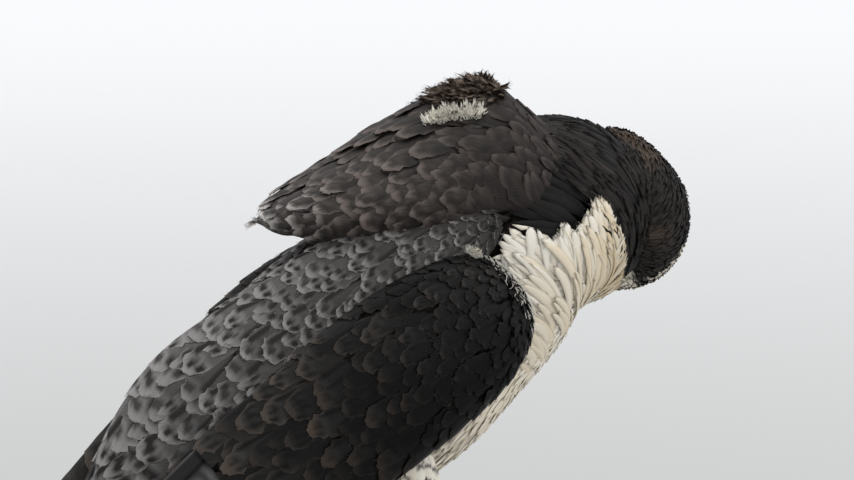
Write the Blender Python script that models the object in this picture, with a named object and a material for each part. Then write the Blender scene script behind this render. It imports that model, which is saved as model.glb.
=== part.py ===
"""Peregrine falcon, life size, standing with its neck stretched forward, its head turned away to its left
and its mantle ruffled. Blender 4.5, metres, +Z up. The bird faces +X and its left side is +Y.

Station tables are in centimetres, as a sculptor would note them, and CM turns them into metres."""

import math
import random

import bmesh
import bpy
import numpy as np
from mathutils import Matrix, Vector

CM = 0.01
GAP = 0.0004
# Feathers modelled one by one: how thick, how far a tip lifts off the body and how deep a root sits in it.
VANE = 0.0006
TIP_LIFT = 0.001
ROOT_DEPTH = 0.0022
CORE_INSET = 0.0009
SIDE_GAP = 0.0005
# Half width of a feather along its length, as shares of its widest.
COVERT = ((0.0, 0.6), (0.6, 1.0), (0.88, 0.8), (1.0, 0.3))
HACKLE = ((0.0, 0.8), (0.5, 1.0), (1.0, 0.16))
QUILL = ((0.0, 0.95), (0.3, 1.0), (0.6, 1.0), (0.88, 0.8), (1.0, 0.22))
SLOPE = math.radians(40)
SHOULDER_HEIGHT = 22.6
BOTH_SIDES = (("right", -1), ("left", 1))
across_axis = (-math.sin(SLOPE), 0, math.cos(SLOPE))

# The trunk and neck, tail end first: x, y, z of the spine, half width, height above it, depth below it.
TRUNK = [
    (-11.2, 0.0, 13.4, 1.5, 1.0, 1.2),
    (-9.0, 0.0, 14.65, 2.5, 1.8, 2.4),
    (-6.2, 0.0, 16.0, 3.4, 3.0, 4.0),
    (-2.7, 0.0, 18.1, 3.95, 3.9, 5.2),
    (0.4, 0.0, 20.6, 4.1, 4.2, 5.1),
    (3.2, 0.0, 22.7, 3.9, 3.7, 4.6),
    (5.6, 0.3, 23.4, 3.3, 3.5, 3.9),
    (7.4, 0.9, 23.35, 2.85, 2.9, 3.7),
    (8.7, 1.5, 23.1, 2.2, 2.2, 2.6),
]
NECK_STARTS = 5.1
NECK_ENDS = 7.45

# The head, back of the skull first, in its own frame: it looks along +X from its centre.
HEAD = [
    (-3.0, 0.0, 0.0, 0.5, 0.5, 0.5),
    (-2.55, 0.0, 0.0, 1.5, 1.5, 1.5),
    (-1.55, 0.0, -0.1, 2.4, 2.35, 2.55),
    (-0.2, 0.0, -0.1, 2.72, 2.6, 3.0),
    (0.9, 0.0, -0.1, 2.45, 2.3, 2.75),
    (1.8, 0.0, -0.15, 1.8, 1.65, 2.1),
    (2.45, 0.0, -0.2, 1.25, 1.05, 1.45),
    (2.75, 0.0, -0.25, 1.0, 0.75, 1.15),
]
HEAD_CENTRE = (8.8, 1.5, 23.15)
HEAD_YAW = math.radians(62)
HEAD_PITCH = math.radians(18)
EYE_RADIUS = 0.8
EYE_CENTRE = (1.0, 1.68, 0.3)
LID_RADIUS = 0.6
LID_THICKNESS = 0.11
CERE = [
    (2.8, 0.0, -0.22, 0.98, 0.72, 0.62),
    (3.05, 0.0, -0.16, 0.86, 0.7, 0.6),
    (3.32, 0.0, -0.12, 0.74, 0.64, 0.58),
]
NOSTRIL = (3.1, 0.8, 0.1)
NOSTRIL_RADIUS = 0.13
UPPER_BILL = [
    (3.36, 0.0, -0.12, 0.72, 0.6, 0.55),
    (3.8, 0.0, -0.2, 0.58, 0.5, 0.56),
    (4.25, 0.0, -0.5, 0.42, 0.37, 0.46),
    (4.52, 0.0, -0.95, 0.25, 0.24, 0.28),
    (4.58, 0.0, -1.4, 0.08, 0.08, 0.08),
]
LOWER_BILL = [
    (2.8, 0.0, -1.0, 0.8, 0.4, 0.4),
    (3.5, 0.0, -1.02, 0.58, 0.35, 0.34),
    (4.1, 0.0, -1.0, 0.3, 0.2, 0.22),
    (4.3, 0.0, -0.98, 0.12, 0.1, 0.1),
]

# The ruffled mantle, from its free rear end to the back of the neck.
MANTLE = [
    (-7.0, 0.0, 23.6, 0.9, 0.7, 0.5),
    (-5.6, 0.0, 23.8, 2.4, 1.4, 1.2),
    (-3.2, 0.0, 24.1, 3.4, 2.6, 2.0),
    (-0.4, 0.0, 24.3, 3.9, 3.7, 2.3),
    (2.2, 0.0, 24.2, 3.7, 4.4, 2.3),
    (4.4, 0.1, 24.2, 2.9, 3.1, 2.2),
    (5.6, 0.3, 23.6, 2.2, 2.3, 1.8),
    (6.4, 0.5, 23.2, 1.2, 1.3, 1.0),
]

# Folded wing: distance along the body axis, height across it, distance from the middle, half thickness,
# and half depth. The axis starts at the shoulder and falls to the tail at SLOPE.
WING = [
    (0.6, -1.9, 4.5, 0.35, 0.8),
    (-0.2, -1.75, 4.75, 0.9, 2.35),
    (-2.0, -1.6, 4.9, 1.2, 3.15),
    (-5.0, -1.3, 4.8, 1.2, 3.45),
    (-9.0, -0.9, 4.3, 0.95, 3.3),
    (-13.0, -0.45, 3.7, 0.65, 2.8),
    (-18.0, -0.15, 3.2, 0.5, 2.1),
    (-24.0, 0.1, 2.85, 0.42, 1.4),
    (-29.0, 0.45, 2.3, 0.3, 0.8),
    (-32.0, 0.65, 1.9, 0.15, 0.35),
]
WING_ENDS = 5.0
SCAPULARS = [
    (2.2, 0.2, 3.5, 0.4, 0.7),
    (0.8, 0.6, 3.6, 0.7, 1.7),
    (-2.5, 1.4, 3.05, 1.0, 2.6),
    (-7.0, 2.1, 2.3, 1.0, 2.9),
    (-11.0, 2.4, 1.85, 0.8, 2.4),
    (-14.0, 2.5, 1.55, 0.5, 1.6),
    (-16.0, 2.5, 1.3, 0.2, 0.6),
]
# They lean in over the back like the two sides of a roof, the left ones a little lower.
SCAPULARS_LEAN = 0.8
FAR_SCAPULARS_LOWER = 0.7
TAIL = [
    (-13.6, 0.1, 0.0, 1.3, 0.5),
    (-18.0, -0.4, 0.0, 1.9, 0.42),
    (-25.0, -0.95, 0.0, 2.3, 0.38),
    (-31.0, -1.3, 0.0, 2.9, 0.35),
]
TAIL_PAIRS = 6
PRIMARIES = 10
VANE_STEP = 0.095

# Rows of larger feathers: where the roots and tips lie along the form, how many, the turn of the first
# and the last round it in degrees, and the lift of the tips.
MANTLE_ROWS = [
    (1.5, 0.02, 4, 5, 175, 0.6),
    (2.4, 1.0, 5, -12, 192, 1.0),
    (3.3, 1.95, 5, -18, 198, 1.2),
    (4.2, 2.85, 6, -14, 194, 1.4),
    (5.2, 3.75, 5, -10, 190, 1.6),
]
SCAPULAR_ROWS = [
    (1.1, 2.4, 3, -58, 62, 1.0),
    (2.0, 3.35, 4, -60, 92, 1.0),
    (2.9, 4.25, 4, -56, 92, 1.0),
    (3.8, 5.1, 4, -50, 84, 0.9),
    (4.6, 5.9, 2, -40, 70, 0.6),
]
WING_ROWS = [
    (0.75, 1.9, 4, -62, 66, 0.8),
    (1.5, 2.8, 5, -66, 70, 1.0),
    (2.4, 3.75, 5, -66, 70, 1.1),
    (3.4, 4.95, 5, -64, 66, 1.2),
]
HACKLE_ROWS = [
    (7.25, 6.2, 6, 25, 190, 1.5),
    (6.5, 5.4, 6, 22, 184, 2.2),
]
THROAT_ROWS = [
    (6.9, 5.6, 4, 196, 246, 1.4),
]
TROUSER_ROWS = [
    (2.7, 3.9, 6, 0, 300, 0.8),
]

# Legs, for the left side: feathered thigh, bare tarsus and the foot on the floor.
THIGH = [
    (-2.6, 2.4, 15.6, 1.3, 1.8, 2.0),
    (-3.1, 2.8, 13.0, 1.9, 2.35, 2.6),
    (-3.3, 3.1, 10.5, 1.6, 1.8, 2.0),
    (-3.5, 3.2, 8.0, 1.05, 1.1, 1.25),
    (-3.6, 3.25, 6.1, 0.62, 0.6, 0.7),
]
TARSUS = [
    (-3.6, 3.25, 6.5, 0.46, 0.46, 0.5),
    (-3.3, 3.27, 4.6, 0.36, 0.36, 0.4),
    (-2.85, 3.3, 2.6, 0.38, 0.38, 0.42),
    (-2.6, 3.3, 1.35, 0.48, 0.5, 0.52),
]
FOOT_CENTRE = (-2.4, 3.3, 0.0)
# Each toe: its bearing from straight ahead, outwards positive, its length, and its claw's length.
TOES = {
    "middle": (4, 4.8, 1.5),
    "inner": (-32, 3.3, 1.7),
    "outer": (38, 3.7, 1.35),
    "hind": (172, 2.1, 1.9),
}
SOLE_DEPTH = 0.07


def clear_scene():
    for obj in list(bpy.data.objects):
        bpy.data.objects.remove(obj)


def material(name, colour, roughness, metallic=0.0):
    made = bpy.data.materials.new(name)
    made.use_nodes = True
    shader = made.node_tree.nodes["Principled BSDF"]
    shader.inputs["Base Color"].default_value = (*colour, 1)
    shader.inputs["Roughness"].default_value = roughness
    shader.inputs["Metallic"].default_value = metallic
    return made


def on_body(station, side=1, lower=0.0):
    """A station given along the body axis, as a spine point in centimetres with the sizes after it."""
    back, across, out, thickness, depth = station
    across -= lower
    x = back * math.cos(SLOPE) - across * math.sin(SLOPE)
    z = SHOULDER_HEIGHT + back * math.sin(SLOPE) + across * math.cos(SLOPE)
    return (x, side * out, z, thickness, depth, depth)


def on_side(stations, side):
    """The same stations on the right when side is -1."""
    return [(x, side * y, *rest) for x, y, *rest in stations]


def between(stations, t):
    """The sizes at t, which counts stations from 0, on a smooth curve through all of them."""
    rows = np.array(stations, float)
    last = len(rows) - 1
    i = min(max(int(t), 0), last - 1)
    f = t - i
    a, b, c, d = rows[max(i - 1, 0)], rows[i], rows[i + 1], rows[min(i + 2, last)]
    return b + 0.5 * f * (c - a + f * (2 * a - 5 * b + 4 * c - d + f * (3 * (b - c) + d - a)))


class Form:
    """A rounded form through oval stations on a spine. Its up vector says which way the height points."""

    def __init__(self, stations, up=(0, 0, 1)):
        self.stations = stations
        self.up = Vector(up)
        self.last = len(stations) - 1

    def frame(self, t):
        """Spine point, side and height directions, and the three sizes, in metres."""
        row = between(self.stations, t)
        ahead = between(self.stations, min(t + 0.05, self.last))[:3]
        behind = between(self.stations, max(t - 0.05, 0))[:3]
        forward = Vector(ahead - behind).normalized()
        side = self.up.cross(forward).normalized()
        return Vector(row[:3]) * CM, side, forward.cross(side), row[3:] * CM

    def point(self, t, angle, swell=0.0):
        """A surface point: angle 0 is on the side, a quarter turn is on top."""
        centre, side, high, (width, above, below) = self.frame(t)
        lift = math.sin(angle) * ((above if math.sin(angle) > 0 else below) + swell)
        return centre + side * (math.cos(angle) * (width + swell)) + high * lift

    def solid(self, name, rings, sides, start=0.0, end=None, swell=0.0):
        """The form as a closed mesh. A swell grows it all round and past both ends."""
        end = self.last if end is None else end
        mesh = bmesh.new()
        grid = []
        for t in np.linspace(start, end, rings):
            angles = [2 * math.pi * k / sides for k in range(sides)]
            points = [self.point(t, angle, swell) for angle in angles]
            if t in (start, end) and swell:
                _, side, high, _ = self.frame(t)
                past = side.cross(high) * (swell if t == end else -swell)
                points = [point + past for point in points]
            grid.append([mesh.verts.new(point) for point in points])
        for one, two in zip(grid, grid[1:]):
            for k in range(sides):
                n = (k + 1) % sides
                mesh.faces.new((one[k], one[n], two[n], two[k]))
        mesh.faces.new(grid[0])
        mesh.faces.new(grid[-1])
        return finished(name, mesh)

    def pair(self, name, rings, sides, start=0.0, end=None, inset=0.0, room=0.0):
        """The solid and its larger twin, which clears the way for it in its neighbours.

        The inset makes the solid smaller, and the room makes the twin larger, for the feathers on it."""
        twin = self.solid(name + "_form", rings, sides, start, end, swell=GAP + room)
        return self.solid(name, rings, sides, start, end, swell=-inset), cutter(twin)

    def surface(self, t, angle, lift):
        """A place off the surface, and the way that the surface faces there."""
        t = min(max(t, 0.021), self.last - 0.021)
        along = self.point(t + 0.02, angle) - self.point(t - 0.02, angle)
        around = self.point(t, angle + 0.02) - self.point(t, angle - 0.02)
        outwards = around.cross(along).normalized()
        centre, *_ = self.frame(t)
        place = self.point(t, angle)
        if outwards.dot(place - centre) < 0:
            outwards = -outwards
        return place + outwards * lift, outwards

    def feathers(self, rows, outline, seed, mirrored=False):
        """Closed vanes in rows over the form, each with its root in it and its tip off it."""
        chance = random.Random(seed)
        made = []
        for k, (root, tip, count, first, last, lift) in enumerate(rows):
            pitch = math.radians(last - first) / (count - 0.5)
            for j in range(count):
                turn = math.radians(first) + pitch * (j + 0.5 * (k % 2))
                end = tip + (tip - root) * chance.uniform(-0.1, 0.06)
                height = TIP_LIFT * lift * chance.uniform(0.8, 1.2)
                spots = []
                for reach, wide in outline:
                    t = root + (end - root) * reach
                    rise = -ROOT_DEPTH + (ROOT_DEPTH + height) * min(reach * 1.35, 1.0)
                    chord = (self.point(t, turn - pitch / 2) - self.point(t, turn + pitch / 2)).length
                    reach_round = pitch / 2 * wide * (1 - SIDE_GAP / chord)
                    turns = [turn - reach_round, turn, turn + reach_round]
                    if mirrored:
                        turns = [math.pi - at for at in turns]
                    spots.append([self.surface(t, at, rise) for at in turns])
                made.append(vane(spots))
        return made


def vane(stations):
    """A thin closed feather through stations, each a row of places across it and the way that they face."""
    mesh = bmesh.new()
    half = VANE / 2
    grid = []
    for row in stations:
        under = [mesh.verts.new(place - facing * half) for place, facing in row]
        over = [mesh.verts.new(place + facing * half) for place, facing in row]
        grid.append((under, over))
    for one, two in zip(grid, grid[1:]):
        for face in (0, 1):
            for k in range(len(one[face]) - 1):
                a, b, c, d = one[face][k], one[face][k + 1], two[face][k + 1], two[face][k]
                mesh.faces.new((a, b, c))
                mesh.faces.new((a, c, d))
        for edge in (0, -1):
            a, b, c, d = one[0][edge], one[1][edge], two[1][edge], two[0][edge]
            mesh.faces.new((a, b, c))
            mesh.faces.new((a, c, d))
    for under, over in (grid[0], grid[-1]):
        mesh.faces.new([*under, *reversed(over)])
    return finished("vane", mesh)


def finished(name, mesh, place=None):
    """The bmesh as an object with its faces pointing out."""
    bmesh.ops.recalc_face_normals(mesh, faces=mesh.faces)
    data = bpy.data.meshes.new(name)
    mesh.to_mesh(data)
    mesh.free()
    if place is not None:
        data.transform(place)
    obj = bpy.data.objects.new(name, data)
    falcon.objects.link(obj)
    return obj


def apply_modifier(obj, modifier):
    with bpy.context.temp_override(object=obj, active_object=obj):
        bpy.ops.object.modifier_apply(modifier=modifier.name)


def keep_largest(obj):
    """Leaves the largest closed surface of the object."""
    mesh = bmesh.new()
    mesh.from_mesh(obj.data)
    left = set(mesh.faces)
    shells = []
    while left:
        start = left.pop()
        shell, reach = {start}, [start]
        while reach:
            for edge in reach.pop().edges:
                for face in edge.link_faces:
                    if face in left:
                        left.discard(face)
                        shell.add(face)
                        reach.append(face)
        shells.append(shell)
    shells.sort(key=lambda shell: sum(face.calc_area() for face in shell))
    loose = [face for shell in shells[:-1] for face in shell]
    bmesh.ops.delete(mesh, geom=loose, context="FACES")
    mesh.to_mesh(obj.data)
    mesh.free()


def joined(obj, pieces):
    """One closed body of the object and the closed pieces rooted in it."""
    group = bpy.data.collections.new(obj.name + "_pieces")
    bpy.context.scene.collection.children.link(group)
    for piece in pieces:
        falcon.objects.unlink(piece)
        group.objects.link(piece)
    union = obj.modifiers.new("join", "BOOLEAN")
    union.operation = "UNION"
    union.operand_type = "COLLECTION"
    union.collection = group
    union.solver = "MANIFOLD"
    apply_modifier(obj, union)
    for piece in pieces:
        bpy.data.objects.remove(piece)
    bpy.data.collections.remove(group)
    keep_largest(obj)
    return obj


def cut_clear(obj, *others):
    """Takes from the object what lies in the other solids."""
    for other in others:
        cut = obj.modifiers.new("clear", "BOOLEAN")
        cut.operation = "DIFFERENCE"
        cut.object = other
        cut.solver = "MANIFOLD"
        apply_modifier(obj, cut)
    keep_largest(obj)
    return obj


def cutter(solid):
    """Puts a solid among the cutters, which don't render."""
    falcon.objects.unlink(solid)
    cutters.objects.link(solid)
    solid.name = "clear_" + solid.name
    solid.hide_render = True
    solid.display_type = "WIRE"
    return solid


def ball(name, centre, radius, segments=12, rings=8):
    mesh = bmesh.new()
    bmesh.ops.create_uvsphere(mesh, u_segments=segments, v_segments=rings, radius=radius)
    return finished(name, mesh, Matrix.Translation(centre))


def rod(name, start, end, radius, sides=10):
    """A straight round rod between two points."""
    run = end - start
    mesh = bmesh.new()
    bmesh.ops.create_cone(
        mesh, cap_ends=True, segments=sides, radius1=radius, radius2=radius, depth=run.length
    )
    turn = run.to_track_quat("Z", "Y").to_matrix().to_4x4()
    return finished(name, mesh, Matrix.Translation((start + end) / 2) @ turn)


def ring(name, centre, axis, radius, thickness, sides=12):
    """A round ring, turned from a small circle."""
    mesh = bmesh.new()
    across = 4
    grid = []
    for k in range(sides):
        turn = 2 * math.pi * k / sides
        row = []
        for j in range(across):
            tilt = 2 * math.pi * j / across
            reach = radius + thickness * math.cos(tilt)
            place = (reach * math.cos(turn), reach * math.sin(turn), thickness * math.sin(tilt))
            row.append(mesh.verts.new(place))
        grid.append(row)
    for k in range(sides):
        for j in range(across):
            n, m = (k + 1) % sides, (j + 1) % across
            mesh.faces.new((grid[k][j], grid[n][j], grid[n][m], grid[k][m]))
    turn = Vector(axis).to_track_quat("Z", "Y").to_matrix().to_4x4()
    return finished(name, mesh, Matrix.Translation(centre) @ turn)


def head_place():
    turn = Matrix.Rotation(HEAD_YAW, 4, "Z") @ Matrix.Rotation(HEAD_PITCH, 4, "Y")
    return Matrix.Translation(Vector(HEAD_CENTRE) * CM) @ turn


def head_pieces():
    """Skull with eye sockets and lids, eyes, cere with nostrils, and the two halves of the bill."""
    head = Form(HEAD).solid("head", 11, 18)
    lids, sockets, rooms, eyes = [], [], [], []
    for side_name, side in BOTH_SIDES:
        x, y, z = EYE_CENTRE
        centre = Vector((x, side * y, z)) * CM
        outwards = Vector((0.32, side, 0.06)).normalized()
        rim = math.sqrt(EYE_RADIUS**2 - LID_RADIUS**2)
        lid_centre = centre + outwards * rim * CM
        lids.append(ring("lid", lid_centre, outwards, LID_RADIUS * CM, LID_THICKNESS * CM))
        sockets.append(cutter(ball("socket_" + side_name, centre, EYE_RADIUS * CM + 0.0003, 12, 8)))
        rooms.append(cutter(ball("eye_room_" + side_name, lid_centre, EYE_RADIUS * CM + 0.0006)))
        eyes.append(ball("eye_" + side_name, centre, EYE_RADIUS * CM - 0.0001))
    joined(head, lids)
    cut_clear(head, *sockets)
    clear_head = cutter(Form(HEAD).solid("head_form", 11, 18, swell=GAP))
    cere = Form(CERE).solid("cere", 4, 16)
    cut_clear(cere, clear_head)
    for side_name, side in BOTH_SIDES:
        x, y, z = NOSTRIL
        inner = Vector((x, side * y * 0.55, z)) * CM
        outer = Vector((x, side * y * 1.4, z)) * CM
        cut_clear(cere, cutter(rod("nostril_" + side_name, inner, outer, NOSTRIL_RADIUS * CM)))
    upper = Form(UPPER_BILL).solid("bill_upper", 9, 12)
    lower = Form(LOWER_BILL).solid("bill_lower", 5, 10)
    clear_cere = cutter(Form(CERE).solid("cere_form", 4, 16, swell=GAP))
    clear_upper = cutter(Form(UPPER_BILL).solid("bill_form", 9, 12, swell=GAP))
    cut_clear(upper, clear_cere)
    cut_clear(lower, clear_head, clear_cere, clear_upper)
    made = [head, cere, upper, lower, *eyes]
    for piece in [*made, clear_head, *rooms]:
        piece.data.transform(head_place())
    return made, [clear_head, *rooms]


def primaries(wing_form, side):
    """The long quills of a folded wing, the outermost lowest and nearest the body, each on the next."""
    backs = [-row[0] for row in WING]
    wing_end, outwards, high, _ = wing_form.frame(WING_ENDS)
    past = outwards.cross(high)
    made = []
    for k in range(PRIMARIES):
        share = k / (PRIMARIES - 1)
        tip = -31.7 + 1.35 * max(k - 1, 0) + (0.3 if k == 0 else 0.0)
        half = 1.12 - 0.2 * share
        middles = []
        for reach, wide in QUILL:
            back = -13.1 + reach * (tip + 13.1)
            t = np.interp(-back, backs, range(len(backs)))
            _, across, out, _, depth = between(WING, t)
            across += (2 * share - 1) * max(depth - half, 0.0)
            out += (k - (PRIMARIES - 1) / 2) * VANE_STEP
            middles.append((Vector(on_body((back, across, out, 0, 0), side)[:3]) * CM, wide))
        spots = []
        for j, (middle, wide) in enumerate(middles):
            run = middles[min(j + 1, len(middles) - 1)][0] - middles[max(j - 1, 0)][0]
            across_it = Vector(across_axis)
            facing = run.cross(across_it).normalized()
            edges = [middle + across_it * (edge * half * wide * CM) for edge in (-1, 1)]
            if j == 0:
                edges = [edge + past * (GAP - (edge - wing_end).dot(past)) for edge in edges]
            spots.append([(edge, facing) for edge in edges])
        made.append(vane(spots))
    return made


def tail_quills():
    """The twelve tail feathers, the middle pair on top and each next pair below."""
    backs = [-row[0] for row in TAIL]
    made = []
    for k in range(TAIL_PAIRS):
        for side in (-1, 1):
            level = 0 if (k, side) == (0, -1) else k + 1
            tip = -31.0 + 0.07 * k * k
            spots = []
            for reach, wide in QUILL:
                back = -14.4 + reach * (tip + 14.4)
                t = np.interp(-back, backs, range(len(backs)))
                _, across, _, width, _ = between(TAIL, t)
                spread = width / TAIL[-1][3]
                outer = (0.55 + 0.385 * (k + 1)) * spread
                inner = -0.75 * spread if k == 0 else 0.2 * spread
                middle, half = (outer + inner) / 2, (outer - inner) / 2 * wide
                across += (3 - level) * VANE_STEP
                spot = Vector(on_body((back, across, middle, 0, 0), side)[:3]) * CM
                edges = [spot + Vector((0, edge * half * CM, 0)) for edge in (-1, 1)]
                spots.append([(edge, Vector(across_axis)) for edge in edges])
            made.append(vane(spots))
    return made


def foot_pieces(side_name, side):
    """One foot with its four toes, cut flat where it stands, and its four claws."""
    cx, cy, _ = FOOT_CENTRE
    centre = Vector((cx, side * cy, 0)) * CM
    foot = ball("foot_" + side_name, centre + Vector((0, 0, 0.75 * CM)), 0.72 * CM, 10, 6)
    toes, tips, claws = [], [], []
    for toe_name, (bearing, length, claw_length) in TOES.items():
        turn = math.radians(bearing) * side
        ahead = Vector((math.cos(turn), math.sin(turn), 0))
        stations = []
        for share, radius in ((0.0, 0.46), (0.3, 0.42), (0.55, 0.37), (0.8, 0.36), (1.0, 0.3)):
            spot = centre / CM + ahead * (share * length)
            height = radius - SOLE_DEPTH + 0.12 * (1 - share)
            stations.append((spot.x, spot.y, height, radius, radius, radius))
        toes.append(Form(stations).solid("toe", 5, 8))
        tips.append(cutter(Form(stations).solid(f"toe_{toe_name}_{side_name}", 5, 8, swell=GAP)))
        tip = centre / CM + ahead * length
        claw_path = []
        for share, radius in ((0.0, 0.24), (0.35, 0.2), (0.7, 0.13), (1.0, 0.03)):
            bend = share * 1.25
            reach = claw_length * math.sin(bend) / 1.25
            height = 0.42 + 0.12 * math.sin(bend * 2) - 0.36 * share * share
            spot = tip + ahead * (reach - 0.15)
            claw_path.append((spot.x, spot.y, height, radius * 0.8, radius, radius))
        claw = Form(claw_path).solid(f"claw_{toe_name}_{side_name}", 5, 8)
        claws.append(cut_clear(claw, tips[-1]))
    joined(foot, toes)
    mesh = bmesh.new()
    bmesh.ops.create_cube(mesh, size=0.2)
    place = Matrix.Translation(centre + Vector((0, 0, -0.1)))
    cut_clear(foot, cutter(finished("floor_" + side_name, mesh, place)))
    return foot


clear_scene()
falcon = bpy.data.collections.new("peregrine_falcon")
cutters = bpy.data.collections.new("cutters")
bpy.context.scene.collection.children.link(falcon)
bpy.context.scene.collection.children.link(cutters)

head_parts, clear_head = head_pieces()
trunk = Form(TRUNK)
torso, clear_torso = trunk.pair("torso", 13, 16, 0, NECK_STARTS)
neck, clear_neck = trunk.pair("neck", 7, 18, NECK_STARTS + 0.015, NECK_ENDS, room=0.0036)
joined(neck, trunk.feathers(HACKLE_ROWS + THROAT_ROWS, HACKLE, "neck"))
cut_clear(neck, clear_torso, *clear_head)
clear_trunk = [clear_torso, clear_neck]

mantle_form = Form(MANTLE)
mantle, clear_mantle = mantle_form.pair("mantle", 12, 14, inset=CORE_INSET, room=0.0034)
joined(mantle, mantle_form.feathers(MANTLE_ROWS, COVERT, "mantle"))
cut_clear(mantle, *clear_trunk, *clear_head)
tail_form = Form([on_body(s) for s in TAIL], up=across_axis)
tail = tail_form.solid("tail", 4, 12, 0, 0.55)
clear_tail = cutter(tail_form.solid("tail_whole", 10, 12, swell=GAP + 0.0025))
joined(tail, tail_quills())
cut_clear(tail, *clear_trunk)
for side_name, side in BOTH_SIDES:
    left = side > 0
    wing_form = Form([on_body(s, side) for s in WING], up=across_axis)
    wing_name, flight_name = "wing_" + side_name, "flight_feathers_" + side_name
    wing, clear_wing = wing_form.pair(wing_name, 12, 14, 0, WING_ENDS, inset=CORE_INSET, room=0.003)
    joined(wing, wing_form.feathers(WING_ROWS, COVERT, wing_name, left))
    cut_clear(wing, *clear_trunk)
    flight = wing_form.solid(flight_name, 3, 8, WING_ENDS + 0.03, WING_ENDS + 0.45, swell=-0.0022)
    clear_flight = cutter(wing_form.solid(flight_name + "_whole", 9, 12, WING_ENDS, swell=GAP))
    joined(flight, primaries(wing_form, side))
    cut_clear(flight, *clear_trunk, clear_tail)
    lower = FAR_SCAPULARS_LOWER if left else 0.0
    stations = [on_body(s, side, lower) for s in SCAPULARS]
    scapulars_form = Form(stations, up=(across_axis[0], -side * SCAPULARS_LEAN, across_axis[2]))
    scapulars_name = "scapulars_" + side_name
    scapulars = scapulars_form.solid(scapulars_name, 12, 12, swell=-CORE_INSET)
    joined(scapulars, scapulars_form.feathers(SCAPULAR_ROWS, COVERT, scapulars_name, left))
    cut_clear(scapulars, *clear_trunk, clear_mantle, clear_wing, clear_flight, clear_tail)
    leg_up = (1, 0, 0.2)
    thigh_form = Form(on_side(THIGH, side), up=leg_up)
    thigh, clear_thigh = thigh_form.pair("thigh_" + side_name, 9, 12, inset=CORE_INSET)
    joined(thigh, thigh_form.feathers(TROUSER_ROWS, COVERT, "thigh_" + side_name, left))
    cut_clear(thigh, *clear_trunk, clear_wing)
    tarsus_form = Form(on_side(TARSUS, side), up=leg_up)
    tarsus, clear_tarsus = tarsus_form.pair("tarsus_" + side_name, 7, 10)
    cut_clear(tarsus, clear_thigh)
    foot = foot_pieces(side_name, side)
    cut_clear(foot, clear_tarsus)

PALETTE = {
    "slate_plumage": ((0.035, 0.035, 0.038), 0.7),
    "pale_plumage": ((0.62, 0.58, 0.5), 0.75),
    "bare_yellow_skin": ((0.75, 0.55, 0.12), 0.5),
    "blue_grey_horn": ((0.16, 0.18, 0.2), 0.35),
    "black_horn": ((0.02, 0.02, 0.02), 0.3),
    "dark_eye": ((0.02, 0.012, 0.008), 0.05),
}
finishes = {name: material(name, *look) for name, look in PALETTE.items()}


def finish_of(name):
    if name.startswith("eye"):
        return "dark_eye"
    if name.startswith("claw"):
        return "black_horn"
    if name.startswith("bill"):
        return "blue_grey_horn"
    if name.startswith(("cere", "tarsus", "foot")):
        return "bare_yellow_skin"
    if name.startswith(("torso", "thigh")):
        return "pale_plumage"
    return "slate_plumage"


for obj in falcon.objects:
    obj.data.materials.clear()
    obj.data.materials.append(finishes[finish_of(obj.name)])

corners = np.array([corner.co for obj in falcon.objects for corner in obj.data.vertices])
low, high = corners.min(0), corners.max(0)
to_origin = Matrix.Translation(-Vector(((low[0] + high[0]) / 2, (low[1] + high[1]) / 2, low[2])))
for obj in [*falcon.objects, *cutters.objects]:
    obj.data.transform(to_origin)
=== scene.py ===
"""The looks of a life-size peregrine falcon: skin, feathers, bill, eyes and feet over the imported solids.

The station tables are in centimetres in the sculpting frame, where the solids were drawn, and CM and
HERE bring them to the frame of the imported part."""

import math

import bmesh
import bpy
import numpy as np
from mathutils import Matrix, Vector, kdtree


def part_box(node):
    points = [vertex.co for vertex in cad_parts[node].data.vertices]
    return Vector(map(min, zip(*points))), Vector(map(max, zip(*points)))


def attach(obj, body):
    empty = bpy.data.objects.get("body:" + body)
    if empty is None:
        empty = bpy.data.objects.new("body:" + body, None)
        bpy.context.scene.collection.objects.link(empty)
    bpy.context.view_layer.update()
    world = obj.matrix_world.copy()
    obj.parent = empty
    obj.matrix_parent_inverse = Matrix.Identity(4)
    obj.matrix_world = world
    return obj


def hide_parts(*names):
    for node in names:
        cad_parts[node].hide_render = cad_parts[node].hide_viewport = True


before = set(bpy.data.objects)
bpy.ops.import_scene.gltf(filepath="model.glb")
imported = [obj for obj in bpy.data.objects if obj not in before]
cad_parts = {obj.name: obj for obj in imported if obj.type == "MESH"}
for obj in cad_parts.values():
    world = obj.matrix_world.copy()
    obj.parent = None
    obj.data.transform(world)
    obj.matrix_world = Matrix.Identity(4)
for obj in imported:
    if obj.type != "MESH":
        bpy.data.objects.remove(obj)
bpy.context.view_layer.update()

# The stand: camera, floor and light. The photograph was taken with a long lens from the bird's right,
# a little behind and above it, before a pale studio floor under broad soft light.
CM = 0.01
HEAD_CENTRE = np.array((8.8, 1.5, 23.15))
HEAD_YAW = math.radians(62)
HEAD_PITCH = math.radians(18)
EYE_CENTRE = np.array((1.0, 1.68, 0.3))
AZIMUTH = math.radians(-25)
ELEVATION = math.radians(8)
VIEW_CENTRE = (0.0, 0.0, 22.6)
VIEW_DISTANCE = 220.0
PIXELS_ACROSS = 854
PIXELS_PER_CM = 26.5
SENSOR = 36.0

head_turn = np.array(Matrix.Rotation(HEAD_YAW, 3, "Z") @ Matrix.Rotation(HEAD_PITCH, 3, "Y"))
eye_low, eye_high = (np.array(corner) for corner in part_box("eye_right"))
modelled_eye = HEAD_CENTRE + head_turn @ (EYE_CENTRE * (1, -1, 1))
HERE = (eye_low + eye_high) / 2 - modelled_eye * CM


def placed(points):
    """Points in centimetres of the sculpting frame, in metres of the part's frame."""
    return np.asarray(points, float) * CM + HERE


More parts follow.
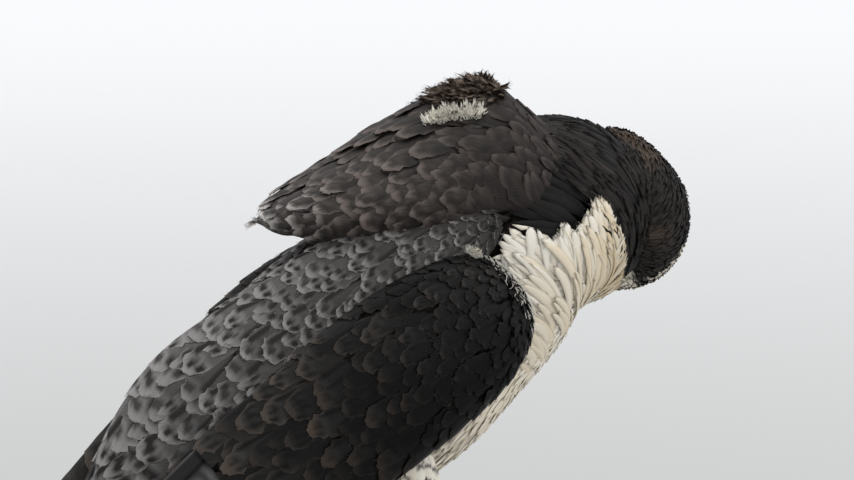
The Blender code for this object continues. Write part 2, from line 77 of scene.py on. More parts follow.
towards_camera = Vector((
    math.sin(AZIMUTH) * math.cos(ELEVATION),
    -math.cos(AZIMUTH) * math.cos(ELEVATION),
    math.sin(ELEVATION),
))
lens = bpy.data.cameras.new("photo_view")
lens.sensor_width = SENSOR
lens.lens = SENSOR * VIEW_DISTANCE / (PIXELS_ACROSS / PIXELS_PER_CM)
lens.clip_end = 60
camera = bpy.data.objects.new("photo_view", lens)
camera.location = Vector(placed(VIEW_CENTRE)) + towards_camera * VIEW_DISTANCE * CM
camera.rotation_euler = towards_camera.to_track_quat("Z", "Y").to_euler()
bpy.context.scene.collection.objects.link(camera)
bpy.context.scene.camera = camera
bpy.context.scene.view_settings.view_transform = "Standard"


class Value:
    """A value in a material: an expression on values adds its Math nodes."""

    def __init__(self, finish, socket):
        self.finish = finish
        self.socket = socket

    def math(self, operation, *values):
        return self.finish.node("ShaderNodeMath", {"operation": operation}, dict(enumerate(values)))

    def __add__(self, other):
        return self.math("ADD", self, other)

    def __radd__(self, other):
        return self.math("ADD", other, self)

    def __sub__(self, other):
        return self.math("SUBTRACT", self, other)

    def __rsub__(self, other):
        return self.math("SUBTRACT", other, self)

    def __mul__(self, other):
        return self.math("MULTIPLY", self, other)

    def __rmul__(self, other):
        return self.math("MULTIPLY", other, self)

    def __abs__(self):
        return self.math("ABSOLUTE", self)


class Finish:
    """A material. Its node method adds one node and gives the value of the output that is asked for."""

    def __init__(self, name, **constants):
        self.material = bpy.data.materials.new(name)
        self.material.use_nodes = True
        self.tree = self.material.node_tree
        self.shader = self.tree.nodes["Principled BSDF"]
        for key, value in constants.items():
            self.shader.inputs[key.replace("_", " ")].default_value = value

    def feed(self, socket, value):
        if isinstance(value, Value):
            self.tree.links.new(value.socket, socket)
        else:
            socket.default_value = value

    def node(self, kind, settings=None, inputs=None, output=0):
        made = self.tree.nodes.new(kind)
        for key, value in (settings or {}).items():
            if key == "stops":
                while len(made.color_ramp.elements) < len(value):
                    made.color_ramp.elements.new(1.0)
                for element, (position, colour) in zip(made.color_ramp.elements, value):
                    element.position = position
                    element.color = colour
            else:
                setattr(made, key, value)
        for key, value in (inputs or {}).items():
            self.feed(made.inputs[key], value)
        return Value(self, made.outputs[output])

    def set(self, name, value):
        self.feed(self.shader.inputs[name], value)


floor_mesh = bpy.data.meshes.new("floor")
FLOOR_REACH = 30.0
floor_corners = [(-1, -1, 0), (1, -1, 0), (1, 1, 0), (-1, 1, 0)]
floor_mesh.from_pydata([Vector(corner) * FLOOR_REACH for corner in floor_corners], [], [(0, 1, 2, 3)])
floor = bpy.data.objects.new("floor", floor_mesh)
bpy.context.scene.collection.objects.link(floor)
paint = Finish("studio_floor", Roughness=0.9)
floor_place = paint.node("ShaderNodeTexCoord", output=3)
from_bird = paint.node("ShaderNodeVectorMath", {"operation": "LENGTH"}, {0: floor_place}, output=1)
# The floor's colour is painted shade: mid grey near the bird and pale far off, standing in for the fall of
# light across the floor.
floor_falloff = paint.node(
    "ShaderNodeMapRange",
    {"interpolation_type": "SMOOTHSTEP"},
    {"Value": from_bird, "From Min": 0.2, "From Max": 3.4, "To Min": 0.0, "To Max": 1.0},
)
floor_falloff_colour = paint.node(
    "ShaderNodeMix",
    {"data_type": "RGBA"},
    {0: floor_falloff, 6: (0.42, 0.425, 0.42, 1), 7: (0.96, 0.965, 0.97, 1)},
    output=2,
)
paint.set("Base Color", floor_falloff_colour)
floor_mesh.materials.append(paint.material)

# Each lamp: where it stands round the bird in metres, its size, its power in watts and its tint.
LAMPS = (
    ("overhead", (0.3, -0.3, 2.2), 2.0, 20.0, (1.0, 0.99, 0.97)),
    ("front_right", (2.2, -1.0, 1.3), 1.4, 10.0, (1.0, 0.98, 0.95)),
    ("rear_left", (-1.4, 1.8, 1.6), 1.6, 6.0, (0.96, 0.98, 1.0)),
)
for lamp_name, place, across, power, tint in LAMPS:
    lamp = bpy.data.lights.new(lamp_name, "AREA")
    lamp.shape = "DISK"
    lamp.size = across
    lamp.energy = power
    lamp.color = tint
    holder = bpy.data.objects.new(lamp_name, lamp)
    holder.location = place
    holder.rotation_euler = Vector(place).to_track_quat("Z", "Y").to_euler()
    bpy.context.scene.collection.objects.link(holder)
world = bpy.context.scene.world or bpy.data.worlds.new("studio")
bpy.context.scene.world = world
world.use_nodes = True
world.node_tree.nodes["Background"].inputs["Color"].default_value = (0.97, 0.98, 1.0, 1)
world.node_tree.nodes["Background"].inputs["Strength"].default_value = 0.96

# The skin. Under its feathers a falcon is one smooth body: trunk and neck, head, the raised mantle,
# both scapular tracts, both folded wings and the thighs. All are fused into one closed surface, which
# takes the colours of the coat over it, so that no seam shows between one part and the next.
SLOPE = math.radians(40)
SHOULDER_HEIGHT = 22.6
ACROSS_BODY = (-math.sin(SLOPE), 0.0, math.cos(SLOPE))
# How far the scapular tracts lean out from upright, and how much lower the far one lies.
SCAPULARS_LEAN = 0.8
FAR_SCAPULARS_LOWER = 0.7
WING_ENDS = 5.0
SIDES = {"right": -1, "left": 1}
# Tail end first: x, y, z of the spine, half width, height above it, depth below it.
TRUNK = [
    (-11.2, 0.0, 13.4, 1.5, 1.0, 1.2),
    (-9.0, 0.0, 14.65, 2.5, 1.8, 2.4),
    (-6.2, 0.0, 16.0, 3.4, 3.0, 4.0),
    (-2.7, 0.0, 18.1, 3.95, 3.9, 5.2),
    (0.4, 0.0, 20.6, 4.1, 4.2, 5.1),
    (3.2, 0.0, 22.7, 3.9, 3.7, 4.6),
    (5.6, 0.3, 23.4, 3.3, 3.6, 3.9),
    (7.4, 0.9, 23.35, 2.85, 2.9, 3.7),
    (8.7, 1.5, 23.1, 2.2, 2.2, 2.6),
]
HEAD = [
    (-3.0, 0.0, 0.0, 0.5, 0.5, 0.5),
    (-2.55, 0.0, 0.0, 1.5, 1.5, 1.5),
    (-1.55, 0.0, -0.1, 2.4, 2.35, 2.55),
    (-0.2, 0.0, -0.1, 2.72, 2.6, 3.0),
    (0.9, 0.0, -0.1, 2.45, 2.3, 2.75),
    (1.8, 0.0, -0.15, 1.8, 1.65, 2.1),
    (2.45, 0.0, -0.2, 1.25, 1.05, 1.45),
    (2.75, 0.0, -0.25, 1.0, 0.75, 1.15),
]
# Brow ridges, the hollows before the eyes, and the fuller hood over crown and cheek: station, turn,
# spread along and round, height.
HEAD_RELIEF = (
    (4.4, 35, 0.9, 13, 0.16),
    (4.4, 145, 0.9, 13, 0.16),
    (5.1, 2, 0.5, 12, -0.1),
    (5.1, 178, 0.5, 12, -0.1),
    (2.4, 82, 1.0, 32, 0.52),
    (2.7, 142, 0.9, 24, -0.1),
    (2.7, 228, 0.9, 40, 0.2),
)
MANTLE = [
    (-6.75, 0.0, 23.75, 0.3, 0.2, 0.18),
    (-5.6, 0.0, 23.87, 2.1, 0.85, 0.95),
    (-3.0, 0.0, 24.15, 3.4, 1.98, 1.75),
    (-0.4, 0.0, 24.35, 3.9, 3.28, 2.05),
    (2.3, 0.0, 24.3, 3.7, 4.25, 2.1),
    (4.1, 0.1, 24.2, 2.9, 2.85, 2.1),
    (5.6, 0.3, 23.6, 2.2, 2.2, 1.8),
    (6.4, 0.5, 23.2, 1.2, 1.3, 1.0),
]
THIGH = [
    (-2.6, 2.4, 15.6, 1.3, 1.8, 2.0),
    (-3.1, 2.8, 13.0, 1.9, 2.35, 2.6),
    (-3.3, 3.1, 10.5, 1.6, 1.8, 2.0),
    (-3.5, 3.2, 8.0, 1.05, 1.1, 1.25),
    (-3.6, 3.25, 6.1, 0.62, 0.6, 0.7),
]
# Along the sloping body axis: distance back, height across it, distance out, half thickness, half depth.
WING = [
    (0.46, -2.0, 4.5, 0.32, 0.75),
    (-0.3, -1.9, 4.72, 0.86, 2.03),
    (-2.0, -1.62, 4.86, 1.16, 2.9),
    (-5.0, -1.15, 4.8, 1.2, 3.3),
    (-9.0, -0.78, 4.3, 0.95, 3.18),
    (-13.0, -0.45, 3.7, 0.65, 2.8),
    (-18.0, -0.15, 3.2, 0.5, 2.1),
    (-24.0, 0.1, 2.85, 0.42, 1.4),
    (-29.0, 0.45, 2.3, 0.3, 0.8),
    (-32.0, 0.65, 1.9, 0.15, 0.35),
]
SCAPULARS = [
    (1.88, 0.05, 3.6, 0.4, 0.75),
    (0.6, 0.72, 3.55, 0.66, 1.58),
    (-2.5, 1.41, 3.05, 1.0, 2.37),
    (-7.0, 1.94, 2.3, 1.0, 2.7),
    (-11.0, 2.54, 1.85, 0.8, 2.5),
    (-14.0, 2.6, 1.55, 0.5, 1.7),
    (-16.0, 2.5, 1.3, 0.2, 0.6),
]
TAIL = [
    (-13.6, 0.1, 0.0, 1.3, 0.5),
    (-18.0, -0.4, 0.0, 1.9, 0.42),
    (-25.0, -0.95, 0.0, 2.3, 0.38),
    (-31.0, -1.3, 0.0, 2.9, 0.35),
]


def along_body(back, across):
    """x and z of a place, from how far back it lies along the sloping body axis and how far across that."""
    x = back * math.cos(SLOPE) - across * math.sin(SLOPE)
    z = SHOULDER_HEIGHT + back * math.sin(SLOPE) + across * math.cos(SLOPE)
    return x, z


def on_body(stations, side=1, lower=0.0):
    """Stations given along the body axis, as spine points with their sizes after them."""
    rows = []
    for back, across, out, thickness, depth in stations:
        x, z = along_body(back, across - lower)
        rows.append((x, side * out, z, thickness, depth, depth))
    return rows


class Form:
    """A rounded form through oval stations, as in the solids. Places on it are a distance along it and a
    turn round it: 0 is on its side, a quarter turn is on top."""

    def __init__(self, stations, up=(0, 0, 1), turned=None, lie=-1, relief=()):
        self.lie = lie
        self.relief = relief
        self.rows = np.array(stations, float)
        self.last = len(self.rows) - 1
        self.up = np.array(up, float)
        self.turned = turned
        self.at = np.linspace(0, self.last, 161)
        turns = np.linspace(0, 2 * math.pi, 13)[:-1]
        rings = self.point(self.at[:, None], turns[None, :])
        steps = np.linalg.norm(np.diff(rings, axis=0), axis=2).mean(1)
        self.run = np.concatenate([[0], np.cumsum(steps)])
        self.length = self.run[-1]

    def sizes(self, t):
        t = np.asarray(t, float)
        i = np.clip(t.astype(int), 0, self.last - 1)
        f = (t - i)[..., None]
        a, b = self.rows[np.maximum(i - 1, 0)], self.rows[i]
        c, d = self.rows[i + 1], self.rows[np.minimum(i + 2, self.last)]
        return b + 0.5 * f * (c - a + f * (2 * a - 5 * b + 4 * c - d + f * (3 * (b - c) + d - a)))

    def point(self, t, turn, swell=0.0):
        """A surface point in metres. The swell, in metres, grows the form."""
        row = self.sizes(t)
        forward = self.sizes(np.minimum(t + 0.05, self.last)) - self.sizes(np.maximum(t - 0.05, 0))
        forward = forward[..., :3] / np.linalg.norm(forward[..., :3], axis=-1, keepdims=True)
        side = np.cross(np.broadcast_to(self.up, forward.shape), forward)
        side /= np.linalg.norm(side, axis=-1, keepdims=True)
        high = np.cross(forward, side)
        swell = swell / CM
        for middle_t, middle_turn, reach_t, reach_turn, height in self.relief:
            apart = np.angle(np.exp(1j * (turn - math.radians(middle_turn)))) / math.radians(reach_turn)
            swell = swell + height * np.exp(-(((t - middle_t) / reach_t) ** 2) - apart**2)
        sine, cosine = np.sin(turn), np.cos(turn)
        lift = sine * (np.where(sine > 0, row[..., 4], row[..., 5]) + swell)
        breadth = cosine * (row[..., 3] + swell)
        spot = row[..., :3] + side * breadth[..., None] + high * lift[..., None]
        if self.turned is not None:
            spot = spot @ self.turned.T + HEAD_CENTRE
        return placed(spot)

    def t_of(self, run):
        return np.interp(run, self.run, self.at)

    def run_of(self, t):
        return np.interp(t, self.at, self.run)

    def place(self, run, turn):
        """Surface points, the way out and the metres to a radian there. Past an end it runs straight on."""
        t = np.clip(self.t_of(run), 0.02, self.last - 0.02)
        spot = self.point(t, turn)
        along = self.point(t + 0.02, turn) - self.point(t - 0.02, turn)
        around = (self.point(t, turn + 0.02) - self.point(t, turn - 0.02)) / 0.04
        out = np.cross(around, along)
        out /= np.linalg.norm(out, axis=-1, keepdims=True) + 1e-12
        centre = (self.point(t, turn * 0) + self.point(t, turn * 0 + math.pi)) / 2
        out *= np.sign((out * (spot - centre)).sum(-1, keepdims=True) + 1e-12)
        ahead = along / (np.linalg.norm(along, axis=-1, keepdims=True) + 1e-12)
        past = np.minimum(run, 0) + np.maximum(run - self.length, 0)
        return spot + ahead * past[..., None], out, np.linalg.norm(around, axis=-1)

    def loft(self, start=0.0, end=None, swell=0.0, rings=60, sides=48):
        """The form as closed mesh arrays."""
        end = self.last if end is None else end
        t = np.linspace(start, end, rings)
        turn = np.linspace(0, 2 * math.pi, sides + 1)[:-1]
        points = self.point(t[:, None], turn[None, :], swell).reshape(-1, 3)
        faces = []
        for i in range(rings - 1):
            for j in range(sides):
                k = (j + 1) % sides
                faces.append((i * sides + j, i * sides + k, (i + 1) * sides + k, (i + 1) * sides + j))
        faces.append(tuple(range(sides - 1, -1, -1)))
        faces.append(tuple(range((rings - 1) * sides, rings * sides)))
        return points, faces


trunk = Form(TRUNK)
head = Form(HEAD, turned=head_turn, relief=HEAD_RELIEF)
mantle = Form(MANTLE)
tail = Form(on_body(TAIL), up=ACROSS_BODY, lie=1)
wings, scapulars, thighs = {}, {}, {}
for side_name, side in SIDES.items():
    lower = FAR_SCAPULARS_LOWER if side > 0 else 0.0
    lean = (ACROSS_BODY[0], -side * SCAPULARS_LEAN, ACROSS_BODY[2])
    wings[side_name] = Form(on_body(WING, side), up=ACROSS_BODY, lie=1)
    scapulars[side_name] = Form(on_body(SCAPULARS, side, lower), up=lean, lie=1)
    thighs[side_name] = Form([(x, side * y, *rest) for x, y, *rest in THIGH], up=(1, 0, 0.2), lie=1)

# How far the skin lies inside each form, in metres: the depth of the coat over it.
COAT_DEPTH = {"trunk": 0.0036, "head": 0.0026, "tract": 0.0036, "thigh": 0.0038}
SKIN_VOXEL = 0.0019


def made_object(name, points, faces):
    mesh = bpy.data.meshes.new(name)
    mesh.from_pydata([tuple(point) for point in points], [], faces)
    mesh.update()
    obj = bpy.data.objects.new(name, mesh)
    bpy.context.scene.collection.objects.link(obj)
    return obj


def select_only(obj):
    bpy.ops.object.select_all(action="DESELECT")
    obj.select_set(True)
    bpy.context.view_layer.objects.active = obj


def apply_modifier(obj, kind, **settings):
    modifier = obj.modifiers.new(kind.lower(), kind)
    for key, value in settings.items():
        setattr(modifier, key, value)
    select_only(obj)
    bpy.ops.object.modifier_apply(modifier=modifier.name)


def fused(name, shells, voxel, smoothing):
    """One smooth closed surface round overlapping closed shells."""
    points, faces, base = [], [], 0
    for shell_points, shell_faces in shells:
        points.append(shell_points)
        faces += [tuple(base + k for k in face) for face in shell_faces]
        base += len(shell_points)
    obj = made_object(name, np.concatenate(points), faces)
    mesh = bmesh.new()
    mesh.from_mesh(obj.data)
    bmesh.ops.recalc_face_normals(mesh, faces=mesh.faces)
    mesh.to_mesh(obj.data)
    mesh.free()
    apply_modifier(obj, "REMESH", mode="VOXEL", voxel_size=voxel)
    apply_modifier(obj, "SMOOTH", factor=0.5, iterations=smoothing)
    select_only(obj)
    bpy.ops.object.shade_smooth()
    return obj


def make_skin():
    shells = [
        trunk.loft(0.0, 8.0, -COAT_DEPTH["trunk"]),
        head.loft(0.0, None, -COAT_DEPTH["head"]),
        mantle.loft(0.0, None, -COAT_DEPTH["tract"]),
        tail.loft(0.0, 0.5, -0.001, rings=12),
    ]
    for side_name in SIDES:
        shells.append(wings[side_name].loft(0.0, WING_ENDS, -COAT_DEPTH["tract"]))
        shells.append(scapulars[side_name].loft(0.0, None, -COAT_DEPTH["tract"]))
        shells.append(thighs[side_name].loft(0.0, None, -COAT_DEPTH["thigh"]))
    return fused("skin", shells, SKIN_VOXEL, smoothing=3)


skin = make_skin()
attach(skin, "root")
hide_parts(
    "torso", "neck", "head", "mantle", "scapulars_left", "scapulars_right",
    "wing_left", "wing_right", "thigh_left", "thigh_right",
)

# The feathers of the trunk. Each is a thin vane of barbs either side of a shaft, rooted in the skin,
# rising to its tip and lying over the roots of the row behind. The breast is cream and silky, and the
# flanks and belly are barred.
BAKE_PATCH = 0.003


def feather_finish(
    name, roughness, specular, barb_bump=0.35, streak=0.5, along_lines=34.0, across_lines=22.0
):
    """Barbs run out from the shaft at a slant, and split and catch the light in fine lines."""
    finish = Finish(name, Roughness=roughness, Specular_IOR_Level=specular)
    tone = finish.node("ShaderNodeVertexColor", {"layer_name": "tone"})
    vane = finish.node("ShaderNodeUVMap", {"uv_map": "vane"})
    across = finish.node("ShaderNodeSeparateXYZ", None, {0: vane})
    along = finish.node("ShaderNodeSeparateXYZ", None, {0: vane}, output=1)
    barb = along * along_lines - abs(across - 0.5) * across_lines
    lines = finish.node(
        "ShaderNodeTexNoise",
        {"noise_dimensions": "2D"},
        {
            "Vector": finish.node("ShaderNodeCombineXYZ", None, {0: barb, 1: across * 1.5}),
            "Scale": 1.0,
            "Detail": 2.0,
        },
    )
    shade = lines * streak + (1.0 - streak / 2)
    colour = finish.node("ShaderNodeVectorMath", {"operation": "SCALE"}, {0: tone, 3: shade})
    finish.set("Base Color", colour)
    bump = finish.node(
        "ShaderNodeBump", None, {"Strength": barb_bump, "Distance": 0.0004, "Height": lines}
    )
    finish.set("Normal", bump)
    return finish.material


def smooth_step(low, high, value):
    share = np.clip((value - low) / (high - low), 0, 1)
    return share * share * (3 - 2 * share)


def blend(one, two, share):
    """Colours, or one colour and another, mixed by an array of shares."""
    share = np.asarray(share)[..., None]
    return np.asarray(one) * (1 - share) + np.asarray(two) * share


def laid_rows(form, table, seed, jitter=0.16):
    """Feather roots in staggered rows. Each table row gives a station, the spacing of rows and of feathers
    in a row, their length and half width in centimetres, and the turns of the ends of the row in degrees.
    Between the table's rows they change evenly."""
    chance = np.random.default_rng(seed)
    table = np.array(sorted(table), float)
    stops = form.run_of(table[:, 0])
    run = stops[-1]
    found = []
    flip = 0
    while run > stops[0]:
        along, across, length, half, first, last = (np.interp(run, stops, column) for column in table.T[1:])
        turns = np.radians(np.linspace(first, last, 60))
        ring = form.point(np.full(60, form.t_of(run)), turns)
        walked = np.concatenate([[0], np.cumsum(np.linalg.norm(np.diff(ring, axis=0), axis=1))])
        count = max(int(walked[-1] / (across * CM)), 1)
        spots = (np.arange(count) + 0.25 + 0.5 * flip) / count * walked[-1]
        spots = spots + chance.normal(0, jitter, count) * across * CM
        found.append(np.stack([
            run + chance.normal(0, jitter, count) * along * CM,
            np.interp(spots, walked, turns),
            length * CM * chance.uniform(0.86, 1.14, count),
            half * CM * chance.uniform(0.88, 1.12, count),
            chance.random(count),
            chance.random(count),
        ]))
        flip = 1 - flip
        run -= along * CM
    names = ("run", "turn", "length", "half", "lot", "lot_two")
    roots = dict(zip(names, np.concatenate(found, axis=1)))
    roots["t"] = form.t_of(roots["run"])
    return roots


def kept(roots, choice):
    return {key: value[choice] for key, value in roots.items()}


def mirrored(roots):
    """The same roots on the bird's other side."""
    return {**roots, "turn": math.pi - roots["turn"]}


# Outlines of feathers: shares of the length, and of the full half width there.
ROUND_TIP = ((0, 0.45), (0.25, 0.8), (0.55, 1.0), (0.78, 0.95), (0.92, 0.66), (1, 0.2))
SILKY_TIP = ((0, 0.55), (0.3, 0.9), (0.55, 1.0), (0.8, 0.72), (0.93, 0.4), (1, 0.08))
LANCE_TIP = ((0, 0.5), (0.25, 0.9), (0.5, 1.0), (0.75, 0.7), (0.9, 0.36), (1, 0.04))

# Metres from a feather's upper face to its keel, falling from root to tip, and the most that a feather
# tilts sideways, in radians. No form is thinner than the least girth, in metres to a radian.
KEEL_DEPTH = 0.00022
KEEL_AT_TIP = 0.00005
VANE_TILT = 0.14
LEAST_GIRTH = 0.004


def vanes_over(
    form, roots, outline, base, lift, heading=0.0, seed=0, steps=10, columns=5, fray=0.12, camber=0.0004,
    rise_power=0.8, curl=0.0, sweep=0.35, turn_in=0.0, crowd=1.0, puff=0.0,
):
    """Vane grids over a form. Heights are metres off it, the heading turns the tips from straight back
    towards larger turns, the curl raises the last part of the feather and the puff rounds it."""
    chance = np.random.default_rng(seed)
    count = len(roots["run"])

    def each(values):
        return np.broadcast_to(values, (count,))[:, None, None]

    reach = 1 - (1 - np.linspace(0, 1, steps)) ** crowd
    u = np.linspace(-1, 1, columns)
    along, over = reach[None, :, None], u[None, None, :]
    half = each(roots["half"])
    width = np.interp(reach, *np.array(outline).T)[None, :, None] * half
    ragged = np.ones((count, steps, columns))
    ragged[:, :, 0] += fray * chance.uniform(-1, 1, (count, steps))
    ragged[:, :, -1] += fray * chance.uniform(-1, 1, (count, steps))
    x = over * width * ragged
    s = each(roots["length"]) * along + sweep * np.abs(x) * (1 - along)
    s = s + fray * 0.5 * half * chance.uniform(-1, 1, (count, steps, columns)) * (along * np.abs(over))
    heading = each(heading) + each(turn_in) * along
    run = each(roots["run"]) + form.lie * (np.cos(heading) * s - np.sin(heading) * x)
    start = np.broadcast_to(each(roots["turn"]), run.shape)
    per_radian = np.maximum(form.place(run, start)[2], LEAST_GIRTH)
    turn = start + (np.sin(heading) * s + np.cos(heading) * x) / per_radian
    spot, out, _ = form.place(run, turn)
    base, lift = each(base), each(lift)
    rise = base + (lift - base) * along**rise_power
    rise = rise + each(curl) * np.clip((along - 0.55) / 0.45, 0, 1) ** 2
    rise = rise + each(puff) * np.sin(math.pi * np.clip((along - 0.4) / 0.6, 0, 1))
    rise = rise + camber * (1 - over**2)
    tilt = (each(roots["lot"]) - 0.5) * VANE_TILT
    top = spot + out * (rise + tilt * x)[..., None]
    middle = columns // 2
    thickness = KEEL_DEPTH * (1 - 0.7 * reach[None, :]) + KEEL_AT_TIP + camber
    keel = top[:, :, middle] - out[:, :, middle] * thickness[..., None]
    return {
        "top": top, "keel": keel, "out": out[:, :, middle], "reach": reach, "u": u,
        "spot": spot[:, 0, middle],
    }


def bake_spots(form, roots):
    """Where each feather's root lies on an unwrap of the form: along it and round it, both from 0 to 1."""
    along = np.clip(roots["run"] / form.length, 0, 1) * 0.98 + 0.01
    around = np.mod(roots["turn"] / (2 * math.pi), 1.0) * 0.98 + 0.01
    return np.stack([along, around], -1)


# Where each feather is rooted and its colour, from which the skin takes its own.
coat_samples = []


def feather_piece(name, vanes, tone, patches, material, patch=BAKE_PATCH, tints_skin=True):
    """One object of closed feathers: a curved upper face, two lower faces that meet under the shaft."""
    top, keel = vanes["top"], vanes["keel"]
    count, steps, columns, _ = top.shape
    points = np.concatenate([top, keel[:, :, None]], axis=2)
    per_row = columns + 1
    tone = np.asarray(tone)
    colours = np.ones((count, steps, per_row, 4))
    colours[:, :, :columns, :3] = tone
    colours[:, :, columns, :3] = tone[:, :, columns // 2]
    quads = []
    for i in range(steps - 1):
        for j in range(columns - 1):
            a = i * per_row + j
            quads.append((a, a + 1, a + 1 + per_row, a + per_row))
        first, last, under = i * per_row, i * per_row + columns - 1, i * per_row + columns
        quads.append((under, first, first + per_row, under + per_row))
        quads.append((last, under, under + per_row, last + per_row))
    quads = np.array(quads)
    ends = []
    for i in (0, steps - 1):
        row = [i * per_row + j for j in range(columns)] + [i * per_row + columns]
        ends.append(row[::-1] if i else row)
    across = top[0, steps // 2, -1] - top[0, steps // 2, 0]
    along = top[0, steps // 2, columns // 2] - top[0, steps // 2 - 1, columns // 2]
    if np.dot(np.cross(across, along), vanes["out"][0, steps // 2]) < 0:
        quads = quads[:, ::-1]
        ends = [row[::-1] for row in ends]
    per_feather = steps * per_row
    bases = np.arange(count) * per_feather
    quad_loops = (quads[None] + bases[:, None, None]).reshape(-1)
    end_loops = (np.array(ends)[None] + bases[:, None, None]).reshape(-1)
    loops = np.concatenate([quad_loops, end_loops])
    sizes = np.concatenate([np.full(len(quads) * count, 4), np.full(2 * count, per_row)])
    mesh = bpy.data.meshes.new(name)
    mesh.vertices.add(count * per_feather)
    mesh.vertices.foreach_set("co", points.reshape(-1).astype(np.float32))
    mesh.loops.add(len(loops))
    mesh.loops.foreach_set("vertex_index", loops.astype(np.int32))
    mesh.polygons.add(len(sizes))
    mesh.polygons.foreach_set("loop_start", np.concatenate([[0], np.cumsum(sizes)[:-1]]).astype(np.int32))
    mesh.polygons.foreach_set("use_smooth", np.ones(len(sizes), bool))
    mesh.update(calc_edges=True)
    pairs = np.empty(len(mesh.edges) * 2, np.int32)
    mesh.edges.foreach_get("vertices", pairs)
    pairs = np.sort(pairs.reshape(-1, 2) % per_feather, axis=1)
    place_in_row = pairs % per_row
    along_it = place_in_row[:, 0] == place_in_row[:, 1]
    rim = along_it & ((place_in_row[:, 0] == 0) | (place_in_row[:, 0] == columns - 1))
    mesh.attributes.new("sharp_edge", "BOOLEAN", "EDGE").data.foreach_set("value", rim)
    layer = mesh.color_attributes.new("tone", "FLOAT_COLOR", "POINT")
    layer.data.foreach_set("color", colours.reshape(-1).astype(np.float32))
    shares = np.zeros((steps, per_row, 2))
    shares[:, :columns, 0] = (vanes["u"][None, :] + 1) / 2
    shares[:, columns, 0] = 0.5
    shares[:, :, 1] = vanes["reach"][:, None]
    shares = np.broadcast_to(shares[None], (count, steps, per_row, 2)).reshape(-1, 2)
    owner = loops // per_feather
    vane_map = mesh.uv_layers.new(name="vane")
    vane_map.data.foreach_set("uv", shares[loops].reshape(-1).astype(np.float32))
    bake_map = mesh.uv_layers.new(name="OFBake")
    spots = patches[owner] + (shares[loops] - 0.5) * patch
    bake_map.data.foreach_set("uv", spots.reshape(-1).astype(np.float32))
    mesh.materials.append(material)
    obj = bpy.data.objects.new(name, mesh)
    bpy.context.scene.collection.objects.link(obj)
    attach(obj, "root")
    if tints_skin:
        coat_samples.append((vanes["spot"], tone[:, steps // 2, columns // 2]))
    return obj


CREAM = (0.8, 0.765, 0.68)
BUFF = (0.68, 0.56, 0.38)
BAR_BLACK = (0.022, 0.018, 0.017)
STREAK_BROWN = (0.12, 0.09, 0.07)
soft_feather = feather_finish("soft_white_feather", 0.75, 0.3, 0.2, 0.3)

# Stations of the trunk, and the turn in degrees at which the white of the right side begins there.
WHITE_EDGE = (
    (0, 200), (2.6, 196), (3.4, 184), (4.3, 180), (4.46, 173), (4.58, 158), (4.8, 157), (4.93, 166),
    (4.99, 176), (5.1, 174), (5.24, 170), (5.31, 179), (5.42, 175), (5.52, 172), (5.66, 169), (5.72, 164),
    (5.85, 163), (5.95, 167), (6.03, 176), (6.21, 190), (6.54, 212), (6.65, 224), (7.45, 240), (8, 246),
)
# In metres to a radian.
BREAST_GIRTH = 0.034


def white_edge(t):
    return np.interp(t, *np.array(WHITE_EDGE).T)


def side_of(roots):
    """-1 on the bird's right of a form whose side is turned to the left, 1 on its left."""
    return np.sign(np.cos(roots["turn"]) + 1e-9)


def on_right(roots, turn, mirror=180):
    """A turn in degrees, or the mirror turn of one that is on the bird's left."""
    return np.where(side_of(roots) < 0, turn, mirror - turn)


def grids(roots, vanes):
    """The reach along a feather, the place across it and its two lots, each on its own axis of an array."""
    lots = (roots[key][:, None, None] for key in ("lot", "lot_two"))
    return vanes["reach"][None, :, None], vanes["u"][None, None, :], *lots

breast_roots = laid_rows(
    trunk,
    [
        (0.05, 0.75, 0.7, 1.9, 0.46, 184, 356),
        (2.6, 0.65, 0.6, 1.8, 0.4, 182, 358),
        (3.6, 0.45, 0.4, 1.8, 0.26, 174, 366),
        (4.4, 0.3, 0.3, 2.0, 0.2, 155, 385),
        (5.8, 0.28, 0.28, 2.0, 0.17, 166, 374),
        (6.5, 0.28, 0.26, 1.6, 0.15, 205, 335),
        (7.4, 0.26, 0.24, 1.1, 0.13, 238, 302),
    ],
    seed=11,
)
breast_heading = side_of(breast_roots) * np.radians(40) * smooth_step(3.8, 4.6, breast_roots["t"])
breast_heading = breast_heading * smooth_step(10, 50, np.abs(np.degrees(breast_roots["turn"]) - 270))
tip_turn = breast_roots["turn"] + np.sin(breast_heading) * breast_roots["length"] / BREAST_GIRTH
tip_turn = on_right(breast_roots, np.degrees(tip_turn), mirror=540)
inside = tip_turn > white_edge(breast_roots["t"]) + 7 * smooth_step(4.95, 5.3, breast_roots["t"])
breast_roots, breast_heading = kept(breast_roots, inside), breast_heading[inside]
breast = vanes_over(
    trunk, breast_roots, SILKY_TIP, -0.0028, 0.0001 * (breast_roots["t"] < 4) - 0.0004, seed=12,
    heading=breast_heading, fray=0.16, steps=9, camber=0.00025,
)


